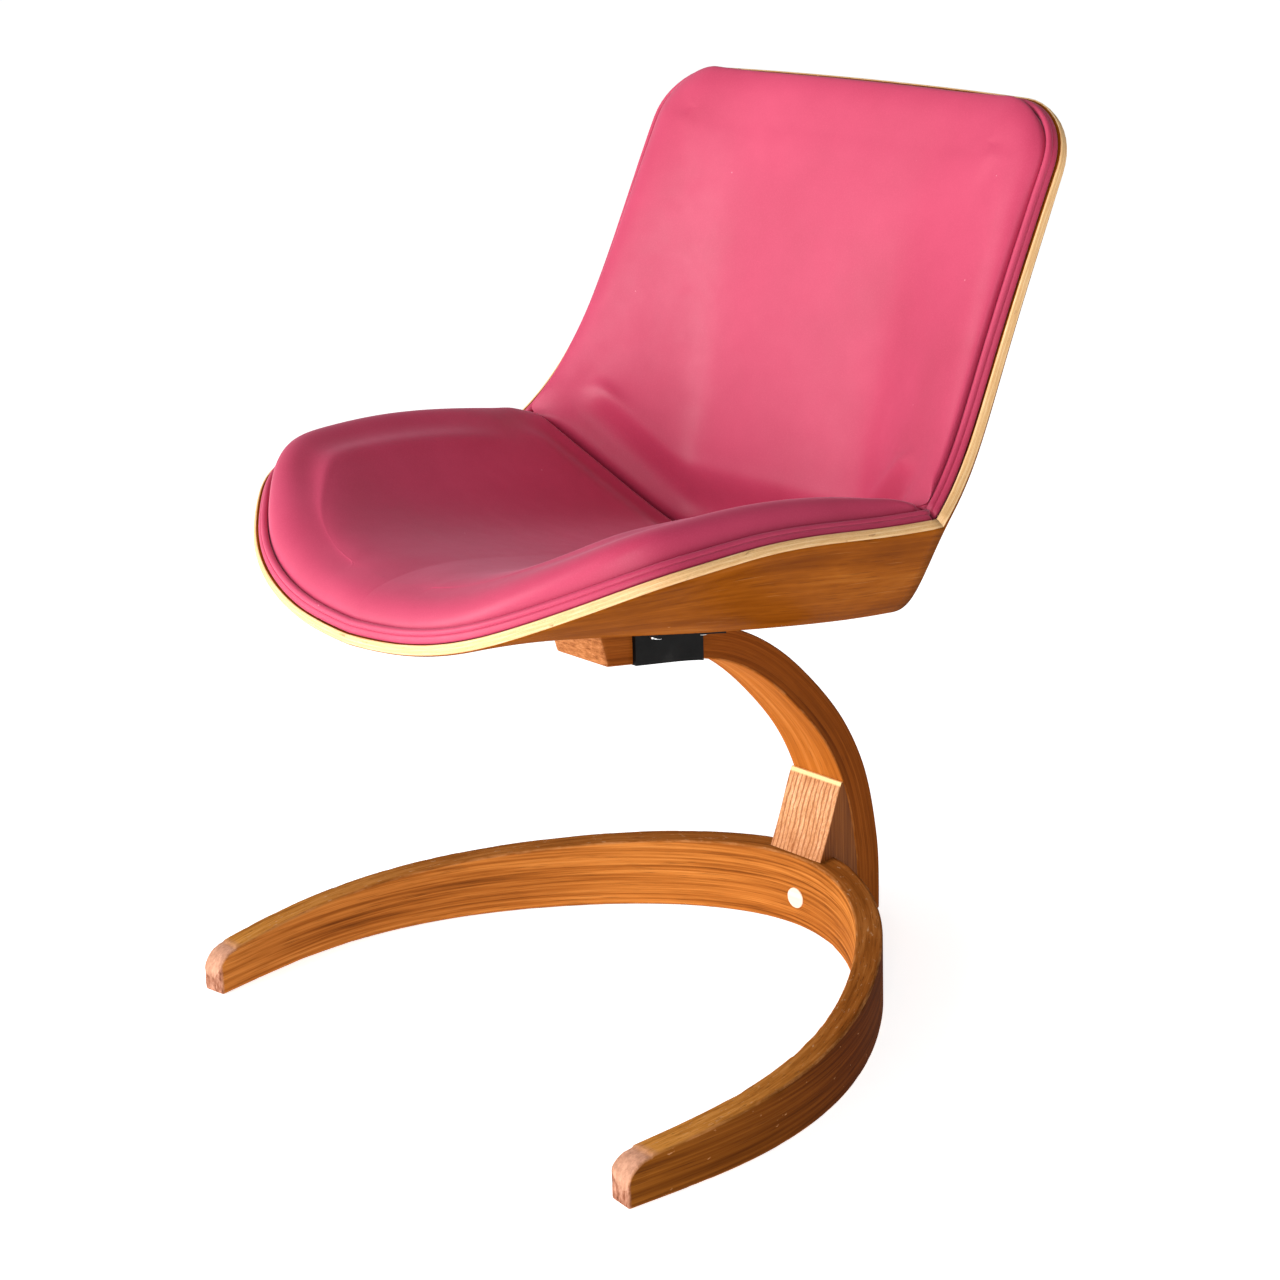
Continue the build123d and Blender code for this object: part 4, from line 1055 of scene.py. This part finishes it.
# ---------------------------------------------------------------- pads
# rim of a pad, from the wrapped board's wall over the seam to the crown.  The first loops have
# fixed heights; above the seam the roll is drawn as a share of the pad's thickness there.
SEAM = [(2.8, 0.5), (2.3, 3.2), (2.5, 5.8), (3.4, 7.0), (5.6, 6.9), (8.0, 6.3), (9.4, 5.9),
        (9.4, 8.2), (9.1, 10.6), (8.5, 13.2)]
# distance in, share of the thickness, share of the lean: firm side bolsters, gentle pillow elsewhere
FIRM = [(7.6, 0.22, 1.0), (7.2, 0.36, 1.0), (7.4, 0.49, 1.0), (9.0, 0.57, 0.9), (12.3, 0.67, 0.65),
        (17.0, 0.779, 0.4), (23.0, 0.874, 0.2), (30.5, 0.948, 0.05), (40.0, 1.0, 0.0)]
GENTLE = [(9.2, 0.075, 1.0), (10.2, 0.168, 1.0), (12.0, 0.306, 0.95), (15.0, 0.469, 0.85), (19.5, 0.632, 0.65),
          (24.0, 0.744, 0.45), (29.0, 0.839, 0.25), (34.5, 0.925, 0.1), (40.0, 1.0, 0.0)]
FOLD = [(0.9, 0.5), (0.9, 4.0), (0.9, 8.0), (0.9, 11.0), (0.9, 14.0), (1.0, 16.5), (1.1, 18.5),
        (1.3, 20.6), (1.6, 22.4), (2.1, 24.3), (3.0, 26.3), (4.4, 28.5), (6.4, 30.8), (9.2, 33.1),
        (13.0, 35.4), (17.5, 37.4), (23.0, 39.1), (29.0, 40.4), (36.0, 41.3)]
PINNED = 7
SEAT_MIDDLE, BACK_MIDDLE = 46.5, 41.2   # thickness in the middle of a pad
SEAT_THICK = ([0, 0.05, 0.10, 0.18, 0.30, 0.42, 0.55, 0.68, 0.80, 0.92, 1.0],
              [31.0, 38.0, 44.0, 48.5, 49.5, 49.5, 48.5, 46.0, 42.6, 39.0, 37.2])
SEAT_FIRM = ([0, 0.55, 0.90, 1.0], [1.0, 1.0, 0.0, 0.0])
BACK_THICK = ([0, 0.06, 0.14, 0.28, 0.50, 0.70, 0.80, 0.90, 1.0],
              [29.0, 30.3, 31.3, 31.6, 31.0, 29.5, 27.0, 25.0, 29.0])
# how far the roll leans out over the seam
SEAT_LEAN = ([0, 0.1, 0.3, 0.7, 0.9, 1.0], [1.0, 1.5, 2.5, 3.0, 1.5, 0.0])
BACK_LEAN = ([0, 0.12, 0.30, 0.55, 0.78, 0.86, 0.93, 1.0], [6.0, 7.0, 5.0, 2.0, -1.5, -2.0, 1.0, 9.0])


def eased(table, u):
    f = np.interp(u, np.linspace(0, 1, 201), np.convolve(
        np.interp(np.clip(np.linspace(-0.06, 1.06, 225), 0, 1), *table), np.ones(25) / 25, "valid"))
    return f


def over_side(dist, thick, roll):
    """height of the side's roll at a distance in from the shell's edge"""
    out = np.zeros_like(dist)
    for i in range(len(dist)):
        dd = np.r_[5.0, 8.5, roll[3:, 0, i]]
        hh = np.r_[6.0, 13.2, 13.2 + (thick[i] - 13.2) * roll[3:, 1, i]]
        out[i] = np.interp(dist[i], dd, hh)
    return out


def over_fold(dist):
    fd = np.array([r for r, h in FOLD[6:]])
    return np.interp(dist, fd, [h for r, h in FOLD[6:]])


def make_pad(name, place, u_rows, kind):
    sh = Sheet(place, len(u_rows), 105, u_rows)
    first = sh.grid(SEAM[0][0], SEAM[0][1], FOLD[0][0], 0)
    pins = list(range(sh.n))
    if kind == "seat":
        run = sh.ru * EDGE_LEN * EDGE_END
        away = (1 - np.abs(sh.rsig)) * CREASE_W * 1.34
        thick, lean, firm = eased(SEAT_THICK, sh.ru), eased(SEAT_LEAN, sh.ru), eased(SEAT_FIRM, sh.ru)
        middle, wide = SEAT_MIDDLE, 32.0
    else:
        run = np.clip(sh.ru / BACK_UC, 0, 1) * 320.0
        away = (1 - np.abs(sh.rsig)) * 340.0
        thick, lean, firm = eased(BACK_THICK, sh.ru), eased(BACK_LEAN, sh.ru), 0.0 * sh.ru
        middle, wide = BACK_MIDDLE, 45.0
    roll = np.array(GENTLE)[:, :, None] * (1 - firm) + np.array(FIRM)[:, :, None] * firm
    last = first
    total = len(FOLD)
    for k in range(1, total):
        rear, fold_h = FOLD[k]
        if k < len(SEAM):
            d, side_h = np.full(len(sh.ru), SEAM[k][0]), np.full(len(sh.ru), SEAM[k][1])
        else:
            rd, rf, rw = roll[k - len(SEAM)]
            d, side_h = rd - lean * rw, 13.2 + (thick - 13.2) * rf
        h = np.where(sh.fold, fold_h, side_h)
        if k > 1:
            h = np.where(sh.fold, smin(h, over_side(d + away, thick, roll), 0.8), smin(h, over_fold(rear + run), 0.8))
        if k < total - 1:
            ids = sh.loop(d, h, rear)
            if k < PINNED:
                pins += ids
        else:
            rim = dict(zip(sh.rim, h))

            def crown(ss, uu):
                at = place(ss, uu, GENTLE[-1][0], 0.0, rear)
                edge = np.array([at[r, c] for r, c in sh.rim])
                flat = at.reshape(-1, 3)
                level = np.where(sh.fold, FOLD[-1][1], thick)
                climb = 0.85 * (thick - 13.2) * (roll[-1, 1] - roll[-2, 1]) / (roll[-1, 0] - roll[-2, 0])
                climb = np.where(sh.fold, 0.3 * (FOLD[-1][1] - FOLD[-2][1]) / (FOLD[-1][0] - FOLD[-2][0]), climb)
                hg, share = 0.0, 0.0
                for side in (~sh.fold & (sh.rsig < -0.999), ~sh.fold & (sh.rsig > 0.999),
                             ~sh.fold & (np.abs(sh.rsig) <= 0.999), sh.fold):
                    gap = np.linalg.norm(flat[:, None, :] - edge[None, side, :], axis=-1)
                    near = gap.min(1)
                    w = np.exp(-((gap - near[:, None]) / 25.0)**2)
                    more = (w * level[side]).sum(1) / w.sum(1) - middle
                    rest = (w * climb[side]).sum(1) / w.sum(1) - np.maximum(-more, 0) / wide
                    one = middle + np.where(more > 0, more * np.exp(-(near / 110.0)**2), more * np.exp(-near / wide))
                    one = one + rest * 18.0 * (1 - np.exp(-near / 18.0)) * np.exp(-(near / 80.0)**2)
                    pull = 1.0 / (near + 0.01)**3
                    hg, share = hg + pull * one, share + pull
                hg = hg / share
                back = near
                hg = hg.reshape(ss.shape)
                free = np.linalg.norm(flat[:, None, :] - edge[None, ~sh.fold, :], axis=-1).min(1)
                inside = np.clip((np.minimum(free, back) - 8.0) / 40.0, 0, 1).reshape(ss.shape)
                even = hg.copy()
                for i in range(60):
                    even[1:-1, 1:-1] = 0.5 * even[1:-1, 1:-1] + 0.125 * (
                        even[:-2, 1:-1] + even[2:, 1:-1] + even[1:-1, :-2] + even[1:-1, 2:])
                hg = hg + (even - hg) * inside * inside * (3 - 2 * inside)
                for (r, c), v in rim.items():
                    hg[r, c] = v
                return hg
            ids = sh.grid(GENTLE[-1][0], crown, rear, 0)
        sh.strip(last, ids, 0)
        last = ids
    verts, faces, tag, uv, hh, dd = sh.done()
    ob = new_object(name, verts, faces, [M_VINYL])
    vg = ob.vertex_groups.new(name="held")
    vg.add(pins, 1.0, "REPLACE")
    return ob, pins


def neighbours(me):
    e = np.zeros(len(me.edges) * 2, np.int32)
    me.edges.foreach_get("vertices", e)
    e = e.reshape(-1, 2)
    a, b = np.r_[e[:, 0], e[:, 1]], np.r_[e[:, 1], e[:, 0]]
    count = np.bincount(a, minlength=len(me.vertices)).astype(float)

    def mean(f):
        return np.stack([np.bincount(a, f[b, i], len(me.vertices)) for i in range(3)], -1) / count[:, None]
    return mean


def points(ob):
    co = np.zeros(len(ob.data.vertices) * 3, np.float32)
    ob.data.vertices.foreach_get("co", co)
    return co.reshape(-1, 3).astype(float)


def settle(ob, pins, rounds=26):
    """eases the joints between rolls without shrinking the pad"""
    mean, co = neighbours(ob.data), points(ob)
    free = np.ones(len(co), bool)
    free[pins] = False
    for i in range(rounds):
        for w in (0.5, -0.52):
            co[free] += w * (mean(co) - co)[free]
    ob.data.vertices.foreach_set("co", co.astype(np.float32).ravel())
    ob.data.update()


def inflate(ob, pins, cap, pressure):
    """lets the cover swell over its foam: held at the seam, gravity off; the taut vinyl keeps
    the broad swelling of the cloth and not its small wrinkles"""
    before = points(ob)
    mod = ob.modifiers.new("cover", "CLOTH")
    st = mod.settings
    st.quality = 6
    st.mass = 0.35
    st.tension_stiffness = st.compression_stiffness = 18.0
    st.shear_stiffness = 8.0
    st.bending_stiffness = 4.0
    st.air_damping = 4.0
    st.use_pressure = True
    st.uniform_pressure_force = pressure
    st.vertex_group_mass = "held"
    st.pin_stiffness = 1.0
    st.effector_weights.gravity = 0.0
    mod.collision_settings.use_collision = False
    mod.collision_settings.use_self_collision = False
    mod.point_cache.frame_start, mod.point_cache.frame_end = 1, 16
    for f in range(1, 17):
        scene.frame_set(f)
    ev = ob.evaluated_get(bpy.context.evaluated_depsgraph_get())
    after = np.zeros(len(ev.data.vertices) * 3, np.float32)
    ev.data.vertices.foreach_get("co", after)
    after = after.reshape(-1, 3).astype(float)
    ob.modifiers.remove(mod)
    scene.frame_set(1)
    move = after - before
    dist = np.linalg.norm(move, axis=1)
    mean = neighbours(ob.data)
    hold = np.zeros(len(move), bool)
    hold[pins] = True
    for i in range(90):
        move = 0.4 * move + 0.6 * mean(move)
        move[hold] = 0.0
    size = np.linalg.norm(move, axis=1)
    lim = cap * np.tanh(size / cap)
    move *= (lim / np.maximum(size, 1e-9))[:, None]
    ob.data.vertices.foreach_set("co", (before + move).astype(np.float32).ravel())
    ob.data.update()
    return dist


seat_pad, seat_pins = make_pad("seat_cushion", seat_place, SEAT_ROWS, "seat")
back_pad, back_pins = make_pad("back_cushion", back_place, BACK_ROWS, "back")
for pad, pins in ((seat_pad, seat_pins), (back_pad, back_pins)):
    settle(pad, pins)
    moved = inflate(pad, pins, 0.002, 3.0)
    print(pad.name, "swelled by up to", round(float(moved.max()) * 1000, 2), "mm before easing and the cap")
for pad, group in ((seat_pad, "seat"), (back_pad, "back")):
    sub = pad.modifiers.new("fine", "SUBSURF")
    sub.levels = sub.render_levels = 1
    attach(pad, "root")
    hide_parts(group + "_pad_cover", group + "_pad_foam", group + "_pad_board")


def make_piping(name, place, u_rows, slot, node):
    """welt around the free sides: a cord in its own sleeve, slightly uneven"""
    sig = np.linspace(-1, 1, 105)
    path_s = np.r_[np.full(len(u_rows), -1.0), sig[1:-1], np.full(len(u_rows), 1.0)]
    path_u = np.r_[u_rows, np.ones(len(sig) - 2), u_rows[::-1]]
    c = place(path_s, path_u, 5.6, 8.9, 0.4)
    up = unit(place(path_s, path_u, 5.6, 10.9, 0.4) - c)
    keep = np.r_[True, np.linalg.norm(np.diff(c, axis=0), axis=1) > 0.6]
    c, up = c[keep], up[keep]
    tan = unit(np.gradient(c, axis=0))
    side = unit(np.cross(tan, up))
    up = np.cross(side, tan)
    m, n = 14, len(c)
    verts = []
    for i in range(n):
        r = 2.95 * (1 + 0.02 * noise.noise(Vector((i * 0.35, 0.0, 3.0))))
        wob = 0.12 * noise.noise(Vector((i * 0.21, 5.0, 0.0)))
        for j in range(m):
            a = 2 * math.pi * j / m
            verts.append(c[i] + (r * math.cos(a) + wob) * side[i] + r * math.sin(a) * up[i])
    faces = []
    for i in range(n - 1):
        for j in range(m):
            jj = (j + 1) % m
            faces.append((i * m + j, i * m + jj, (i + 1) * m + jj, (i + 1) * m + j))
    for row in (0, n - 1):
        ids = list(range(row * m, row * m + m))
        mid = len(verts)
        verts.append(np.mean([verts[i] for i in ids], axis=0))
        for j in range(m):
            faces.append((ids[j], ids[(j + 1) % m], mid))
    ob = pile(name, [M_PIPE], slot, [node], verts=np.array(verts), faces=faces)
    return ob


seat_welt = make_piping("seat_welt", seat_place, SEAT_ROWS, "piping", "seat_pad_piping")
back_welt = make_piping("back_welt", back_place, BACK_ROWS, "piping", "back_pad_piping")

# ---------------------------------------------------------------- finishes of the other pieces
for node, mat in (("knee_block", M_KNEE), ("knee_dowels", M_DOWEL), ("base_bolt", M_ZINC),
                  ("base_bolt_plug", M_PLUG), ("base_washers", M_ZINC), ("base_nut", M_ZINC),
                  ("seat_bracket", M_BLACK), ("flange_bolts", M_BRIGHT), ("bow_bolts", M_ZINC),
                  ("seat_tee_nuts", M_ZINC), ("mitre_pins", M_ZINC),
                  ("seat_pad_clips", M_CLIP), ("back_pad_clips", M_CLIP)):
    ob = NODES[node]
    ob.data.materials.clear()
    ob.data.materials.append(mat)

# =====================================================================
# stage, light, camera
# =====================================================================
gf = Graph("pale_floor")
pf = gf.obj()
speckle = gf.noise(pf, 40.0, 4.0, 0.6)
gf.set(Base_Color=gf.ramp(speckle, [(0.3, rgb(246, 246, 246)), (0.7, rgb(250, 250, 250))]))
gf.set(Roughness=gf.span(speckle, 0.3, 0.7, 0.85, 0.95))
gf.bsdf.inputs["Emission Color"].default_value = (1.0, 1.0, 1.0, 1.0)
gf.bsdf.inputs["Emission Strength"].default_value = 0.72
me = bpy.data.meshes.new("floor")
me.from_pydata([(-30, -30, 0), (30, -30, 0), (30, 30, 0), (-30, 30, 0)], [], [(0, 1, 2, 3)])
me.materials.append(gf.mat)
floor = bpy.data.objects.new("floor", me)
floor.location = (0, 0, -0.0004)
scene.collection.objects.link(floor)

world = bpy.data.worlds.new("studio")
scene.world = world
world.use_nodes = True
bg = world.node_tree.nodes["Background"]
bg.inputs[0].default_value = (1.0, 1.0, 1.0, 1.0)
wt = world.node_tree
where = wt.nodes.new("ShaderNodeTexCoord")
facing = wt.nodes.new("ShaderNodeVectorMath")
facing.operation = "DOT_PRODUCT"
facing.inputs[1].default_value = (-0.55, -0.80, -0.22)
wt.links.new(where.outputs["Generated"], facing.inputs[0])
level = wt.nodes.new("ShaderNodeMapRange")
level.interpolation_type = "SMOOTHSTEP"
for i, v in enumerate((-0.5, 1.0, 0.18, 0.72)):
    level.inputs[i + 1].default_value = v
wt.links.new(facing.outputs["Value"], level.inputs[0])
wt.links.new(level.outputs[0], bg.inputs[1])


def softbox(name, at, look, size, power, colour=(1, 1, 1)):
    li = bpy.data.lights.new(name, "AREA")
    li.shape = "RECTANGLE"
    li.size, li.size_y = size
    li.energy = power
    li.color = colour
    ob = bpy.data.objects.new(name, li)
    scene.collection.objects.link(ob)
    d = Vector(look) - Vector(at)
    ob.rotation_euler = d.to_track_quat("-Z", "Y").to_euler()
    ob.location = at
    return ob


softbox("key", (-1.05, -2.85, 1.3), (0.0, 0.0, 0.5), (1.8, 2.4), 112.0)
softbox("side", (2.5, -2.0, 1.2), (0.0, 0.0, 0.45), (1.4, 1.4), 42.0)

cam_data = bpy.data.cameras.new("view")
cam_data.sensor_width = 36.0
cam_data.lens = 81.3744677
cam = bpy.data.objects.new("view", cam_data)
scene.collection.objects.link(cam)
az, el, roll = math.radians(48.37177553), math.radians(18.16551095), math.radians(-1.91306167)
back = Vector((math.sin(az) * math.cos(el), -math.cos(az) * math.cos(el), math.sin(el)))
right = (-back).cross(Vector((0, 0, 1))).normalized()
up = right.cross(-back)
rr = math.cos(roll) * right + math.sin(roll) * up
uu = -math.sin(roll) * right + math.cos(roll) * up
mat = Matrix((rr, uu, back)).transposed().to_4x4()
mat.translation = (1.77708375, -1.57680151, 1.10743131)
cam.matrix_world = mat
scene.camera = cam
scene.view_settings.view_transform = "Standard"
